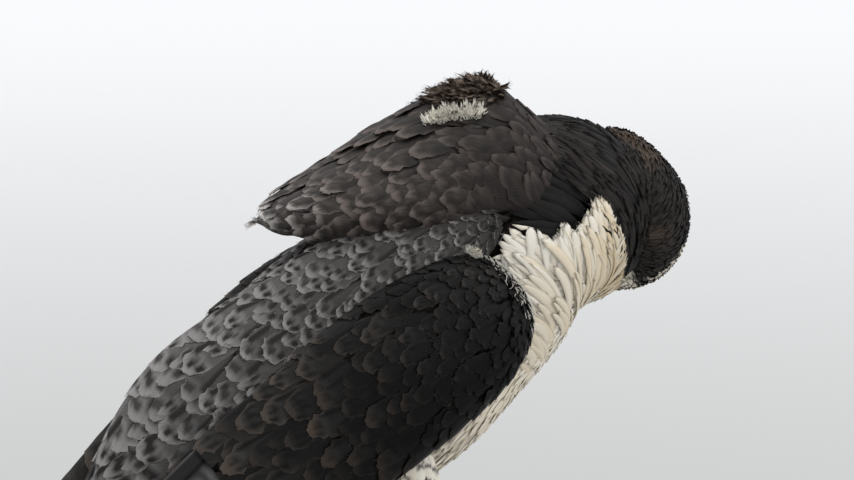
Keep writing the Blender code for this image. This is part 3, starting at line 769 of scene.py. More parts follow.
def breast_tone(roots, vanes):
    """Cream, with two dark bars on each feather of the belly and flanks and fine shaft streaks above. Each
    feather turns buff towards its root, a painted shade under the feather over it.
    """
    t = roots["t"][:, None, None]
    reach, u, lot, lot_two = grids(roots, vanes)
    barred = smooth_step(3.5, 2.9, t) * (0.7 + 0.3 * lot_two)
    wave = np.cos(2 * math.pi * (reach * 2.0 + 0.15 * np.abs(u) + 0.25 * lot - 0.5))
    bars = smooth_step(0.25, 0.8, wave) * (reach > 0.2)
    # Buff by chance and low on the trunk; the buff towards each feather's root is painted shade.
    shade = 0.35 * lot + 0.5 * smooth_step(0.7, 0.1, reach) + 0.25 * smooth_step(5.2, 4.0, t)
    colour = blend(CREAM, BUFF, np.clip(shade * 0.9, 0, 1) + 0 * u)
    streak = (lot_two > 0.9) * smooth_step(0.35, 0.1, np.abs(u)) * smooth_step(0.3, 0.5, reach) * (t > 3.4)
    colour = blend(colour, STREAK_BROWN, streak * 0.8)
    spot = smooth_step(0.7, 0.35, np.abs(u)) * smooth_step(0.6, 0.7, reach) * smooth_step(0.92, 0.82, reach)
    colour = blend(colour, BAR_BLACK, spot * (lot > 0.4) * smooth_step(3.85, 3.45, t) * 0.9)
    return blend(colour, BAR_BLACK, bars * barred * 0.95)


feather_piece(
    "coat_breast", breast, breast_tone(breast_roots, breast), bake_spots(trunk, breast_roots),
    soft_feather,
)

# Over the sides of the neck the white feathers are long and silky. The bird's stretched neck has drawn
# them into strands that rise from the breast in a curve and end in a ragged edge below the hollow.
STRANDS = 270
# Ranges of their roots' stations and turns, and of their lengths and half widths.
STRAND_STATIONS = (4.0, 6.45)
STRAND_TURNS = (186, 262)
STRAND_LENGTHS = (2.6, 5.2)
STRAND_HALVES = (0.1, 0.3)
SHORTEST_STRAND = 0.8 * CM
STRAND_BEND = 0.5
STRAND_TIP = ((0, 0.4), (0.15, 0.8), (0.4, 1.0), (0.75, 0.9), (0.9, 0.6), (0.97, 0.3), (1, 0.06))
silk_feather = feather_finish("silky_white_feather", 0.7, 0.25, 0.25, 0.34, 5.0, 46.0)


def path_of(roots, heading, turn_in, form, share):
    """Where a curved feather's middle has come to at a share of its length: station and turn."""
    reach = share[None, :] * roots["length"][:, None]
    way = heading[:, None] + np.asarray(turn_in)[:, None] * share[None, :]
    run = roots["run"][:, None] + form.lie * np.cos(way) * reach
    per_radian = form.place(run, np.broadcast_to(roots["turn"][:, None], run.shape))[2]
    return form.t_of(run), roots["turn"][:, None] + np.sin(way) * reach / np.maximum(per_radian, LEAST_GIRTH)


def strand_roots(seed):
    """Roots low on the right side of the neck, each strand cut to end at the edge of the white."""
    chance = np.random.default_rng(seed)
    t = chance.uniform(*STRAND_STATIONS, STRANDS)
    roots = {
        "t": t,
        "run": trunk.run_of(t),
        "turn": np.radians(chance.uniform(*STRAND_TURNS, STRANDS)),
        "length": CM * chance.uniform(*STRAND_LENGTHS, STRANDS),
        "half": CM * chance.uniform(*STRAND_HALVES, STRANDS) * (1 - 0.5 * smooth_step(5.0, 6.2, t)),
        "lot": chance.random(STRANDS),
        "lot_two": chance.random(STRANDS),
    }
    lean = 118 + 16 * smooth_step(4.6, 6.0, t) + 8 * chance.uniform(-1, 1, STRANDS)
    heading, turn_in = -np.radians(lean), STRAND_BEND + 0.25 * smooth_step(4.8, 6.0, t)
    share = np.linspace(0.02, 1, 60)
    t_there, turn_there = path_of(roots, heading, turn_in, trunk, share)
    past = np.degrees(turn_there) < white_edge(t_there) + 2 * roots["lot"][:, None]
    first = np.where(past.any(1), past.argmax(1), len(share) - 1)
    cut = share[first]
    turn_in = turn_in * cut
    roots["length"] = roots["length"] * cut
    long_enough = roots["length"] > SHORTEST_STRAND
    return kept(roots, long_enough), heading[long_enough], turn_in[long_enough]


strands, strand_heading, strand_turn = strand_roots(14)
strands_left, left_heading, left_turn = strand_roots(15)
strands = {key: np.concatenate([strands[key], mirrored(strands_left)[key]]) for key in strands}
strands["turn"] = np.mod(strands["turn"], 2 * math.pi)
strand_heading = np.concatenate([strand_heading, -left_heading])
strand_turn = np.concatenate([strand_turn, -left_turn])
strand_coat = vanes_over(
    trunk, strands, STRAND_TIP, -0.003, -0.0002 + 0.0016 * strands["lot"], heading=strand_heading,
    turn_in=strand_turn, seed=16, steps=20, fray=0.1, camber=0.0003, sweep=0.0, rise_power=0.6,
)


def strand_tone(roots, vanes):
    """Cream, warmer forward and low on the neck, each strand a little different, with painted shade along
    its edges and towards its root.
    """
    reach, u, _, _ = grids(roots, vanes)
    low = smooth_step(205, 250, on_right(roots, np.degrees(roots["turn"]), mirror=540))
    warm = 0.1 + 0.4 * smooth_step(4.9, 6.2, roots["t"]) + 0.4 * low + 0.4 * (roots["lot_two"] - 0.5)
    colour = blend(CREAM, BUFF, np.clip(warm[:, None, None] + 0.15 * (1 - reach) + 0 * u, 0, 1))
    # Painted shade: each strand is darker along its edges and towards its root, where the strands overlap.
    shade = 1 - 0.3 * smooth_step(0.7, 1.0, np.abs(u)) - 0.2 * smooth_step(0.35, 0.0, reach)
    return colour * shade[..., None]


feather_piece(
    "strands_neck", strand_coat, strand_tone(strands, strand_coat), bake_spots(trunk, strands), silk_feather,
)
# The back. Slate feathers with round tips lie like tiles from the neck to the rump and run in under the
# mantle and the scapulars. Each is marked with dark spots and a paler fringe.
SLATE = (0.09, 0.084, 0.082)
SOOT = (0.0065, 0.006, 0.0058)
TAN = (0.12, 0.082, 0.058)
ASH = (0.17, 0.16, 0.152)
WORN_PALE = (0.2, 0.18, 0.165)
BARB_DEPTH = 0.00006
dark_feather = feather_finish("dark_body_feather", 0.6, 0.16, 0.4, 0.6)


def mottled(
    roots, vanes, ground, dark, edge, shown=0.36, spots=1.0, rim=0.7, warm=0.0, width=0.3, fringe=0.4
):
    """A slate feather, marked where it shows beyond the row over it: a dark spot on the shaft, one on each
    half at another distance, a paler fringe, and shade where the next feather lies over it."""
    reach, u, lot, lot_two = grids(roots, vanes)
    near = np.clip((reach - (1 - shown)) / shown, 0, 1)
    blot = np.zeros_like(lot * near * u)
    for at_u, at_near in ((0.08, 0.3 + 0.3 * lot), (-0.62, 0.05 + 0.6 * lot_two), (0.66, 0.65 - 0.6 * lot)):
        blot = np.maximum(blot, np.exp(-(((u - at_u) / width) ** 2) - ((near - at_near) / 0.24) ** 2))
    blot = smooth_step(0.2, 0.62, blot) * spots * (0.6 + 0.4 * lot_two)
    shadow = smooth_step(0.22, 0.0, near) * 0.55
    ground = np.asarray(ground)
    if ground.ndim > 1:
        ground = ground[:, None, None, :]
    level = (0.75 + 0.5 * lot_two)[..., None]
    colour = ground * level * np.ones_like(near * u)[..., None]
    pale = smooth_step(1 - fringe, 1.0, np.abs(u)) * 0.8
    pale = np.maximum(pale, smooth_step(1 - fringe, 1.0 - fringe / 4, near))
    colour = blend(colour, edge, pale * rim * (0.5 + 0.5 * lot))
    colour = blend(colour, dark, np.clip(blot + shadow, 0, 1))
    return blend(colour, TAN, warm * smooth_step(0.55, 0.95, lot) * smooth_step(0.3, 0.9, near) * 0.5)


def loose_barbs(vanes, tone, per_feather, length, half, seed, spread=0.7, pale=0.0):
    """The loose ends of the barbs, which fringe the tip of each feather: fine straight spikes. A few are
    worn pale."""
    chance = np.random.default_rng(seed)
    top, out = vanes["top"], vanes["out"]
    count, steps, columns, _ = top.shape
    owner = np.repeat(np.arange(count), per_feather)
    number = len(owner)
    middle = columns // 2
    first = np.searchsorted(vanes["reach"], 0.72)
    row = chance.integers(first, steps, number)
    edge = np.where(chance.random(number) < 0.5, 0, columns - 1)
    ends = np.where(row == steps - 1, chance.integers(0, columns, number), edge)
    root = top[owner, row, ends]
    ahead = top[owner, -1, middle] - top[owner, -4, middle]
    ahead /= np.linalg.norm(ahead, axis=-1, keepdims=True)
    aside = root - top[owner, row, middle]
    aside /= np.linalg.norm(aside, axis=-1, keepdims=True) + 1e-6
    up = out[owner, row]
    sideways = chance.uniform(0.2, 1.0, number)[:, None] * spread
    upwards = chance.uniform(-0.05, 0.2, number)[:, None]
    way = ahead + aside * sideways + up * upwards
    way /= np.linalg.norm(way, axis=-1, keepdims=True)
    size = length * chance.uniform(0.5, 1.3, number)[:, None]
    wide = np.cross(up, way) * half
    start = root - way * size * 0.4
    end = start + way * size
    foot_of_spike = start[:, None] + wide[:, None] * np.array((-1, 0, 1))[None, :, None]
    tip_of_spike = end[:, None] + wide[:, None] * np.array((-0.1, 0, 0.1))[None, :, None]
    spikes = np.stack([foot_of_spike, tip_of_spike], axis=1)
    made = {
        "top": spikes, "keel": spikes[:, :, 1] - up[:, None] * BARB_DEPTH, "spot": start,
        "out": np.repeat(up[:, None], 2, axis=1), "reach": np.array((0.0, 1.0)),
        "u": np.array((-1.0, 0.0, 1.0)),
    }
    shade = tone[owner, row, ends] * chance.uniform(0.9, 1.3, number)[:, None]
    shade = blend(shade, WORN_PALE, 0.7 * (chance.random(number) < pale))[:, None, None, :]
    return made, np.broadcast_to(shade, (number, 2, 3, 3)), owner


def barb_piece(name, vanes, tone, patches, material, *barbs, **more):
    """The loose barbs of one coat. Their number for each feather, length, half width in metres and seed
    follow the material."""
    spikes, spike_tone, owner = loose_barbs(vanes, tone, *barbs, **more)
    feather_piece(name, spikes, spike_tone, patches[owner], material)


back_roots = laid_rows(
    trunk,
    [
        (0.03, 0.7, 0.7, 2.2, 0.5, -16, 196),
        (3.4, 0.7, 0.7, 2.0, 0.45, -4, 184),
        (5.2, 0.5, 0.5, 1.8, 0.32, 8, 172),
    ],
    seed=21,
)
back_turn = on_right(back_roots, np.degrees(back_roots["turn"]))
behind_wrist = (back_roots["t"] > 4.3) & (back_turn > 146)
back_roots = kept(back_roots, (back_turn < white_edge(back_roots["t"]) - 8) & ~behind_wrist)
back = vanes_over(trunk, back_roots, ROUND_TIP, -0.0028, 0.0002, seed=22, fray=0.15)
feather_piece(
    "coat_back", back, mottled(back_roots, back, SLATE, SOOT, ASH), bake_spots(trunk, back_roots),
    dark_feather,
)

# The nape and the sides of the neck wear hackles: long, narrow, soot-brown feathers that stand off the neck
# when it is stretched, and part over a hollow behind the white of the throat, whose shade is painted on the
# hackles there.
UMBER = (0.022, 0.017, 0.0145)
HACKLE_EDGE = (0.085, 0.07, 0.06)
# Metres to a radian round the neck, and the degrees that a hackle may stand over the white.
NECK_GIRTH = 0.03
EDGE_SLACK = 3
TIP_OVER_WHITE = 3
ROOT_OVER_WHITE = 10
HACKLE_SWEEP = 52
hackle_roots = laid_rows(
    trunk,
    [
        (4.3, 0.5, 0.42, 2.2, 0.26, -2, 182),
        (4.9, 0.42, 0.38, 2.4, 0.24, -10, 190),
        (5.9, 0.38, 0.34, 2.7, 0.2, -6, 186),
        (6.2, 0.36, 0.32, 2.8, 0.18, -8, 188),
        (6.6, 0.34, 0.3, 2.8, 0.17, -36, 216),
        (7.0, 0.32, 0.28, 2.6, 0.16, -52, 232),
        (7.95, 0.3, 0.26, 2.2, 0.14, -66, 246),
    ],
    seed=31,
)
from_top = np.abs(np.degrees(hackle_roots["turn"]) - 90)
hackle_swept = smooth_step(5, 75, from_top) * smooth_step(3.9, 5.4, hackle_roots["t"])
hackle_side = side_of(hackle_roots)
hackle_heading = hackle_side * (np.radians(HACKLE_SWEEP) * hackle_swept + np.radians(4))
hackle_heading = hackle_heading + np.radians(9) * (hackle_roots["lot_two"] - 0.5)
tip_swept = HACKLE_SWEEP * hackle_side * hackle_swept * hackle_roots["length"] / NECK_GIRTH
tip_turn = on_right(hackle_roots, np.degrees(hackle_roots["turn"]) + tip_swept)
tip_t = trunk.t_of(hackle_roots["run"] - 0.9 * hackle_roots["length"] * np.cos(hackle_heading))
white_at_root = white_edge(hackle_roots["t"])
tip_of_white = tip_turn - np.minimum(white_at_root, white_edge(tip_t) + EDGE_SLACK)
root_turn = on_right(hackle_roots, np.degrees(hackle_roots["turn"]))
clear_of_white = (tip_of_white < TIP_OVER_WHITE) & (root_turn - white_at_root < ROOT_OVER_WHITE)
clear_of_white |= hackle_roots["t"] > 6.15
clear_of_white &= (tip_t > 4.8) | (root_turn < 156)
hackle_roots = kept(hackle_roots, clear_of_white)
hackle_heading, from_top = hackle_heading[clear_of_white], from_top[clear_of_white]
hackle_ridge = smooth_step(70, 30, from_top) * smooth_step(7.0, 6.2, hackle_roots["t"])
hackles = vanes_over(
    trunk, hackle_roots, LANCE_TIP, -0.0024, 0.0004 + 0.0026 * hackle_roots["lot"] * hackle_ridge,
    heading=hackle_heading, seed=32, steps=9, fray=0.15, crowd=1.3,
    curl=0.0003 + 0.002 * hackle_roots["lot_two"] * hackle_ridge,
)


def hackle_tone(roots, vanes):
    """Umber or soot with worn edges, darker on the head side, and darker still with painted shade in the
    hollow beside the white.
    """
    reach, u, lot, lot_two = grids(roots, vanes)
    sooty = np.clip(lot_two * 0.8 + smooth_step(5.4, 6.8, roots["t"][:, None, None]) * 0.4, 0, 1)
    colour = blend(UMBER, SOOT, sooty + 0 * reach * u)
    colour = blend(colour, SOOT, smooth_step(0.7, 0.2, reach) * 0.6 + 0 * u)
    worn = smooth_step(0.6, 1.0, np.abs(u)) * smooth_step(0.5, 1, lot) * 0.6
    colour = blend(colour, HACKLE_EDGE, worn + 0 * reach)
    # Painted shade: hackles near the edge of the white, in the hollow, are darkened.
    beside = white_edge(roots["t"]) - on_right(roots, np.degrees(roots["turn"]))
    hollow_shade = smooth_step(34, 12, beside) * smooth_step(4.3, 4.8, roots["t"])
    hollow_shade = hollow_shade * smooth_step(6.4, 6.0, roots["t"])
    return colour * (1 - 0.75 * hollow_shade)[:, None, None, None]


feather_piece(
    "coat_neck", hackles, hackle_tone(hackle_roots, hackles), bake_spots(trunk, hackle_roots),
    dark_feather,
)

# The hood. Small dense feathers run back from the bill over the crown and cheeks. A dark moustache
# drops from each eye, and the chin and throat are cream.
head_roots = laid_rows(
    head,
    [
        (0.25, 0.22, 0.17, 1.6, 0.085, 0, 360),
        (1.5, 0.2, 0.15, 1.5, 0.08, 0, 360),
        (3.0, 0.18, 0.14, 1.1, 0.075, 0, 360),
        (4.5, 0.16, 0.13, 0.8, 0.065, 0, 360),
        (5.8, 0.13, 0.115, 0.42, 0.055, 0, 360),
        (6.85, 0.11, 0.1, 0.3, 0.045, 0, 360),
    ],
    seed=41,
)


def in_head(places):
    """Places of the part's frame in the head's own frame, in centimetres."""
    return ((places - HERE) / CM - HEAD_CENTRE) @ head_turn


EYE_CLEARING = 0.78
head_spots = in_head(head.place(head_roots["run"], head_roots["turn"])[0])
from_eye = np.linalg.norm((head_spots * (1, 0, 1) - EYE_CENTRE * (1, 0, 1)) * (1, 1, 1.05), axis=1)
ahead_of_eye = (head_spots[:, 0] > EYE_CENTRE[0]) & (np.abs(head_spots[:, 2] - EYE_CENTRE[2]) < 0.7)
reach_to_eye = np.where(ahead_of_eye, from_eye - EYE_CLEARING * 0.9, 9.0)
head_roots["length"] = np.minimum(head_roots["length"], np.maximum(reach_to_eye, 0.22) * CM)
clear = from_eye > EYE_CLEARING
head_roots, head_spots = kept(head_roots, clear), head_spots[clear]
combed = smooth_step(4.2, 2.6, head_roots["t"]) * np.abs(np.cos(head_roots["turn"]))
head_coat = vanes_over(
    head, head_roots, SILKY_TIP, -0.0014, 0.0005 + 0.0005 * head_roots["lot"],
    heading=-side_of(head_roots) * np.radians(50) * combed + np.radians(12) * (head_roots["lot_two"] - 0.5),
    seed=42, steps=6, columns=3, fray=0.1, camber=0.0002,
)


def head_tone(roots, vanes, spots):
    """The hood's markings, by place in the head's frame: x forward, z up, both in centimetres. Each feather
    is darker towards its root, a painted shade, and lighter towards its tip.
    """
    x, y, z = spots[:, 0], np.abs(spots[:, 1]), spots[:, 2]
    throat = smooth_step(-1.9, -2.2, z - 0.5 * np.maximum(x - 0.6, 0))
    throat = throat * smooth_step(1.0, 0.7, y - 0.15 * np.maximum(x, 0))
    cheek = smooth_step(0.0, 0.2, x) * smooth_step(0.8, 0.6, x) * smooth_step(-1.1, -1.35, z)
    cheek = cheek * smooth_step(1.2, 1.5, y)
    chin = smooth_step(1.75, 2.1, x) * smooth_step(-0.95, -1.2, z)
    pale = np.maximum(np.maximum(throat, cheek * 0.95), chin)
    brow = smooth_step(1.6, 2.4, x) * smooth_step(0.1, 0.5, z) * 0.3
    crown = smooth_step(1.7, 2.2, z) * smooth_step(0.9, -0.2, x)
    crown = np.maximum(crown, 0.8 * np.exp(-(((x + 1.5) / 0.5) ** 2) - ((z + 0.9) / 0.5) ** 2))
    lot = roots["lot"]
    dark = blend(SOOT, UMBER, lot * 0.7)
    dark = blend(dark, TAN, np.clip(crown * 0.55 * (0.4 + 0.6 * roots["lot_two"]) + brow * 0.35, 0, 1))
    light = blend(CREAM, BUFF, 0.4 * lot)
    colour = blend(dark, light, pale)[:, None, None, :]
    # Painted shade and light: darker towards each feather's root, lighter at its tip.
    reach = vanes["reach"][None, :, None, None]
    return colour * (0.7 + 0.45 * reach) * np.ones_like(vanes["u"])[None, None, :, None]


feather_piece(
    "coat_head", head_coat, head_tone(head_roots, head_coat, head_spots), bake_spots(head, head_roots),
    dark_feather,
)

# The mantle. The bird has raised the feathers between its shoulders into a hump: rounded slate feathers
# like scales, umber towards the neck, parted near the top over pale down, with a brown tuft above.
PATCH_T, PATCH_TURN = 3.55, 125
MANTLE_BROWN = (0.042, 0.035, 0.031)
MANTLE_FRONT = (0.02, 0.015, 0.013)
MANTLE_REAR = (0.16, 0.15, 0.142)
MANTLE_SPOT = (0.012, 0.01, 0.009)
MANTLE_EDGE = (0.14, 0.115, 0.103)
MANTLE_FRONT_EDGE = (0.05, 0.04, 0.036)
MANTLE_REAR_EDGE = (0.5, 0.475, 0.455)
DOWN_WHITE = (0.88, 0.86, 0.8)
DOWN_SHADE = (0.84, 0.8, 0.7)
TUFT_BROWN = (0.15, 0.11, 0.085)
mantle_roots = laid_rows(
    mantle,
    [
        (0.12, 0.3, 0.4, 0.6, 0.34, 0, 360),
        (0.6, 0.4, 0.5, 1.2, 0.42, 0, 360),
        (0.9, 0.5, 0.62, 1.9, 0.5, 0, 360),
        (1.3, 0.6, 0.66, 2.2, 0.5, -38, 218),
        (3.2, 0.62, 0.62, 2.3, 0.46, -24, 204),
        (4.4, 0.6, 0.5, 2.7, 0.34, -24, 204),
        (5.6, 0.46, 0.38, 2.4, 0.23, -16, 196),
        (6.3, 0.3, 0.3, 1.5, 0.17, -10, 190),
        (6.9, 0.2, 0.22, 0.7, 0.12, -10, 190),
    ],
    seed=51,
    jitter=0.24,
)
from_patch = np.hypot(
    (mantle_roots["t"] - PATCH_T) / 0.5, (np.degrees(mantle_roots["turn"]) - PATCH_TURN) / 8
)
mantle_roots = kept(mantle_roots, from_patch > 1)
mantle_side = -np.sign(np.cos(mantle_roots["turn"]))
mantle_lean = np.radians(8 - 40 * smooth_step(2.6, 4.6, mantle_roots["t"]))
raised_up = (mantle_roots["lot"] > 0.82) * (mantle_roots["t"] < 3.6)
raised_up = raised_up * smooth_step(60, 20, np.abs(np.degrees(mantle_roots["turn"]) - 95))
mantle_coat = vanes_over(
    mantle, mantle_roots, ROUND_TIP, -0.0024, -0.001 + 0.0008 * mantle_roots["lot"] + 0.0012 * raised_up,
    heading=mantle_side * mantle_lean + np.radians(24) * (mantle_roots["lot_two"] - 0.5), seed=52, steps=12,
    columns=7, fray=0.22, curl=0.0003 * mantle_roots["lot_two"] + 0.0003 * raised_up, crowd=1.6,
    puff=0.0009 * smooth_step(5.0, 4.0, mantle_roots["t"]) * (0.4 + 0.6 * mantle_roots["lot_two"]),
    camber=0.0006,
)
front_share = smooth_step(2.4, 4.4, mantle_roots["t"])
mantle_ground = blend(MANTLE_BROWN, MANTLE_FRONT, front_share)
mantle_ground = blend(mantle_ground, MANTLE_REAR, smooth_step(1.3, 0.5, mantle_roots["t"]))
mantle_edge = blend(MANTLE_REAR_EDGE, MANTLE_EDGE, smooth_step(0.7, 2.2, mantle_roots["t"]))
mantle_edge = blend(mantle_edge, MANTLE_FRONT_EDGE, front_share)
mantle_tone = mottled(
    mantle_roots, mantle_coat, mantle_ground, MANTLE_SPOT, mantle_edge[:, None, None, :], spots=0.85,
    rim=1.15, width=0.4, fringe=0.62,
)
mantle_spots = bake_spots(mantle, mantle_roots)
feather_piece("coat_mantle", mantle_coat, mantle_tone, mantle_spots, dark_feather)
barb_piece("barbs_mantle", mantle_coat, mantle_tone, mantle_spots, dark_feather, 9, 0.0022, 0.00008, 53)


def scattered(form, count, t_range, turn_range, length, half, seed):
    """Roots strewn evenly over a patch, for down and tufts."""
    chance = np.random.default_rng(seed)
    t = chance.uniform(*t_range, count)
    return {
        "run": form.run_of(t),
        "t": t,
        "turn": np.radians(chance.uniform(*turn_range, count)),
        "length": length * CM * chance.uniform(0.6, 1.3, count),
        "half": half * CM * chance.uniform(0.7, 1.3, count),
        "lot": chance.random(count),
        "lot_two": chance.random(count),
    }


def plain_tone(roots, vanes, low, high, root_shade=0.6):
    """Strands between two colours, darker at the root."""
    colour = blend(low, high, roots["lot"])[:, None, None, :]
    shade = root_shade + (1 - root_shade) * vanes["reach"][None, :, None, None]
    return colour * shade * np.ones_like(vanes["u"])[None, None, :, None]


# The down is an irregular patch: stations of the mantle, and the turns between which it shows there.
DOWN_TOP = ((2.92, 113), (3.02, 111), (3.2, 111), (3.27, 116), (3.4, 118), (3.5, 120), (3.56, 124))
DOWN_END = ((2.92, 114), (3.0, 117), (3.13, 119), (3.3, 123), (3.41, 126), (3.5, 127), (3.56, 125))
down_roots = scattered(mantle, 1500, (2.92, 3.56), (109, 130), 0.26, 0.04, 61)
down_turn = np.degrees(down_roots["turn"])
down_top, down_end = (np.interp(down_roots["t"], *np.array(edge).T) for edge in (DOWN_TOP, DOWN_END))
down_roots = kept(down_roots, (down_turn > down_top) & (down_turn < down_end))
down = vanes_over(
    mantle, down_roots, SILKY_TIP, -0.002, 0.0006 + 0.0022 * down_roots["lot"], seed=62, steps=6, columns=3,
    heading=np.radians(320) * (down_roots["lot_two"] - 0.5), fray=0.5, curl=0.001,
)
feather_piece(
    "down_mantle", down, plain_tone(down_roots, down, DOWN_WHITE, DOWN_SHADE, 0.9),
    bake_spots(mantle, down_roots), soft_feather,
)
tuft_roots = scattered(mantle, 420, (3.3, 4.12), (76, 112), 0.8, 0.11, 63)
tuft = vanes_over(
    mantle, tuft_roots, SILKY_TIP, -0.0022, 0.0002 + 0.003 * tuft_roots["lot"] ** 2, seed=64, steps=8,
    heading=np.radians(190) * (tuft_roots["lot_two"] - 0.5), fray=0.4, curl=0.0012 * tuft_roots["lot_two"],
)
tuft_tone = plain_tone(tuft_roots, tuft, UMBER, TUFT_BROWN)
tuft_spots = bake_spots(mantle, tuft_roots)
feather_piece("tuft_mantle", tuft, tuft_tone, tuft_spots, dark_feather)
barb_piece("barbs_tuft", tuft, tuft_tone, tuft_spots, dark_feather, 9, 0.003, 0.00008, 65, spread=1.2)

# The scapulars lie over the back like two roofs, the near one under the hump. Grey with dark bars and
# blotches, larger to the rear, they end in long tertials beside the tail.
SCAPULAR_FRONT = (0.1, 0.092, 0.088)
SCAPULAR_REAR = (0.16, 0.155, 0.151)
SCAPULAR_SPOT = (0.014, 0.012, 0.011)
SCAPULAR_EDGE = (0.27, 0.26, 0.25)
for side_name, side in SIDES.items():
    form = scapulars[side_name]
    roots = laid_rows(
        form,
        [
            (0.05, 0.14, 0.2, 0.45, 0.14, -104, 112),
            (0.5, 0.26, 0.34, 0.9, 0.24, -100, 112),
            (1.1, 0.48, 0.5, 1.7, 0.36, -92, 112),
            (3.0, 0.7, 0.74, 2.5, 0.54, -86, 108),
            (4.6, 0.9, 0.9, 3.4, 0.68, -70, 96),
            (5.3, 1.0, 0.9, 3.6, 0.7, -44, 72),
            (5.9, 1.0, 0.8, 3.4, 0.7, -20, 50),
        ],
        seed=71 + side,
        jitter=0.24,
    )
    heading = np.radians(18) * (roots["lot_two"] - 0.5)
    if side > 0:
        roots = mirrored(roots)
    coat = vanes_over(
        form, roots, ROUND_TIP, -0.0022, -0.0012 + 0.0006 * roots["lot"], heading=heading, seed=73 + side,
        steps=14, columns=9, fray=0.2, camber=0.0003, crowd=1.6,
    )
    ground = blend(SCAPULAR_FRONT, SCAPULAR_REAR, smooth_step(0.5, 4.5, roots["t"]))
    # Lighter towards the top of the tract and darker low beside the wing: painted light and shade from the
    # light above.
    ground = ground * (0.7 + 0.75 * smooth_step(0.1, 1.0, np.sin(roots["turn"])))[:, None]
    tone = mottled(
        roots, coat, ground, SCAPULAR_SPOT, SCAPULAR_EDGE, shown=0.34, rim=0.85, spots=1.25, width=0.34
    )
    # Painted shade: the front rows, tucked under the mantle and neck, are darkened.
    tucked_shade = smooth_step(1.0, 0.2, roots["t"]) * 0.5
    tone = tone * (1 - tucked_shade)[:, None, None, None]
    spots = bake_spots(form, roots)
    feather_piece("coat_scapulars_" + side_name, coat, tone, spots, dark_feather)
    barb_piece(
        "barbs_scapulars_" + side_name, coat, tone, spots, dark_feather, 16, 0.0026, 0.00008, 75 + side
    )

# The folded wings. Small scale-like coverts clothe the round wrist and grow towards the rear, where the
# greater coverts and secondaries overlap in long rows, glossy near-black with rufous edges.
WING_DARK = (0.005, 0.0048, 0.0048)
WING_LIGHT = (0.04, 0.038, 0.036)
WING_DARK_EDGE = (0.016, 0.0145, 0.0135)
WING_LIGHT_EDGE = (0.085, 0.068, 0.056)
WING_SPOT = (0.004, 0.004, 0.004)
gloss_feather = feather_finish("glossy_wing_feather", 0.42, 0.09, 0.3, 0.6)
for side_name, side in SIDES.items():
    form = wings[side_name]
    roots = laid_rows(
        form,
        [
            (0.06, 0.14, 0.19, 0.4, 0.12, -132, 132),
            (0.6, 0.2, 0.25, 0.65, 0.16, -132, 132),
            (1.2, 0.32, 0.36, 1.0, 0.24, -128, 128),
            (2.4, 0.52, 0.56, 1.6, 0.38, -122, 122),
            (3.6, 0.8, 0.85, 2.5, 0.56, -112, 112),
            (4.7, 1.1, 1.0, 3.8, 0.66, -104, 104),
            (5.5, 1.3, 1.0, 5.4, 0.7, -100, 100),
        ],
        seed=81 + side,
        jitter=0.26,
    )
    heading = np.radians(22) * (roots["lot_two"] - 0.5) + np.radians(6)
    if side > 0:
        roots = mirrored(roots)
        heading = -heading
    coat = vanes_over(
        form, roots, ROUND_TIP, -0.0022, -0.001 + 0.0005 * roots["lot"], heading=heading, seed=83 + side,
        steps=12, columns=7, fray=0.24, crowd=1.6, camber=0.0003,
    )
    upper = np.sin(roots["turn"])
    # Paler towards the rear, as the larger feathers there are, and lighter on the upper side, a painted
    # highlight where the light from above falls.
    light = smooth_step(0.1, 0.9, upper) * 0.35 + smooth_step(2.6, 4.8, roots["t"]) * 0.75
    ground = blend(WING_DARK, WING_LIGHT, np.clip(light, 0, 1))
    edge = blend(WING_DARK_EDGE, WING_LIGHT_EDGE, np.clip(light + 0.1, 0, 1))
    edge = edge * (0.5 + roots["lot_two"])[:, None]
    ground = ground * (0.5 + 1.2 * roots["lot"] ** 2)[:, None]
    rufous = 0.5 * smooth_step(2.4, 3.4, roots["t"]) * smooth_step(5.0, 4.2, roots["t"])
    tone = mottled(
        roots, coat, ground, WING_SPOT, edge[:, None, None, :], shown=0.4, rim=0.75,
        warm=rufous[:, None, None],
    )
    # Painted shade: darker near the front under the scapulars' edge, and on the lower front of the wing,
    # which the light barely reaches.
    tucked_shade = smooth_step(0.62, 0.86, upper) * smooth_step(3.0, 2.2, roots["t"]) * 0.75
    tucked_shade = np.maximum(tucked_shade, 0.5 * smooth_step(0.2, -0.7, upper) * smooth_step(4.2, 3.2, roots["t"]))
    tone = tone * (1 - tucked_shade)[:, None, None, None]
    spots = bake_spots(form, roots)
    feather_piece("coat_wing_" + side_name, coat, tone, spots, gloss_feather)
    barb_piece(
        "barbs_wing_" + side_name, coat, tone, spots, gloss_feather, 9, 0.0026, 0.00006, 85 + side, pale=0.12
    )

# Where the wing's wrist is pressed into the breast, white down stands out over the top of it, and fine
# white hairs, the worn ends of breast feathers, lie over its front edge.
for side_name, side in SIDES.items():
    form = wings[side_name]
    for piece_name, count, t_range, turn_range, length, half, lift in (
        ("down_wrist_", 150, (1.04, 1.26), (70, 92), 0.28, 0.03, 0.0024),
        ("hairs_wrist_", 150, (0.25, 0.95), (-50, 76), 0.26, 0.006, 0.0004),
    ):
        roots = scattered(form, count, t_range, turn_range, length, half, 87)
        heading = np.radians(120) * (roots["lot_two"] - 0.5)
        if side > 0:
            roots, heading = mirrored(roots), -heading
        strand = vanes_over(
            form, roots, SILKY_TIP, -0.001, lift * (0.2 + roots["lot"]), heading=heading, seed=88, steps=6,
            columns=3, fray=0.1, curl=0.3 * lift, camber=0.0001,
        )
        feather_piece(
            piece_name + side_name, strand, plain_tone(roots, strand, DOWN_WHITE, CREAM, 0.9),
            bake_spots(form, roots), soft_feather, tints_skin=False,
        )

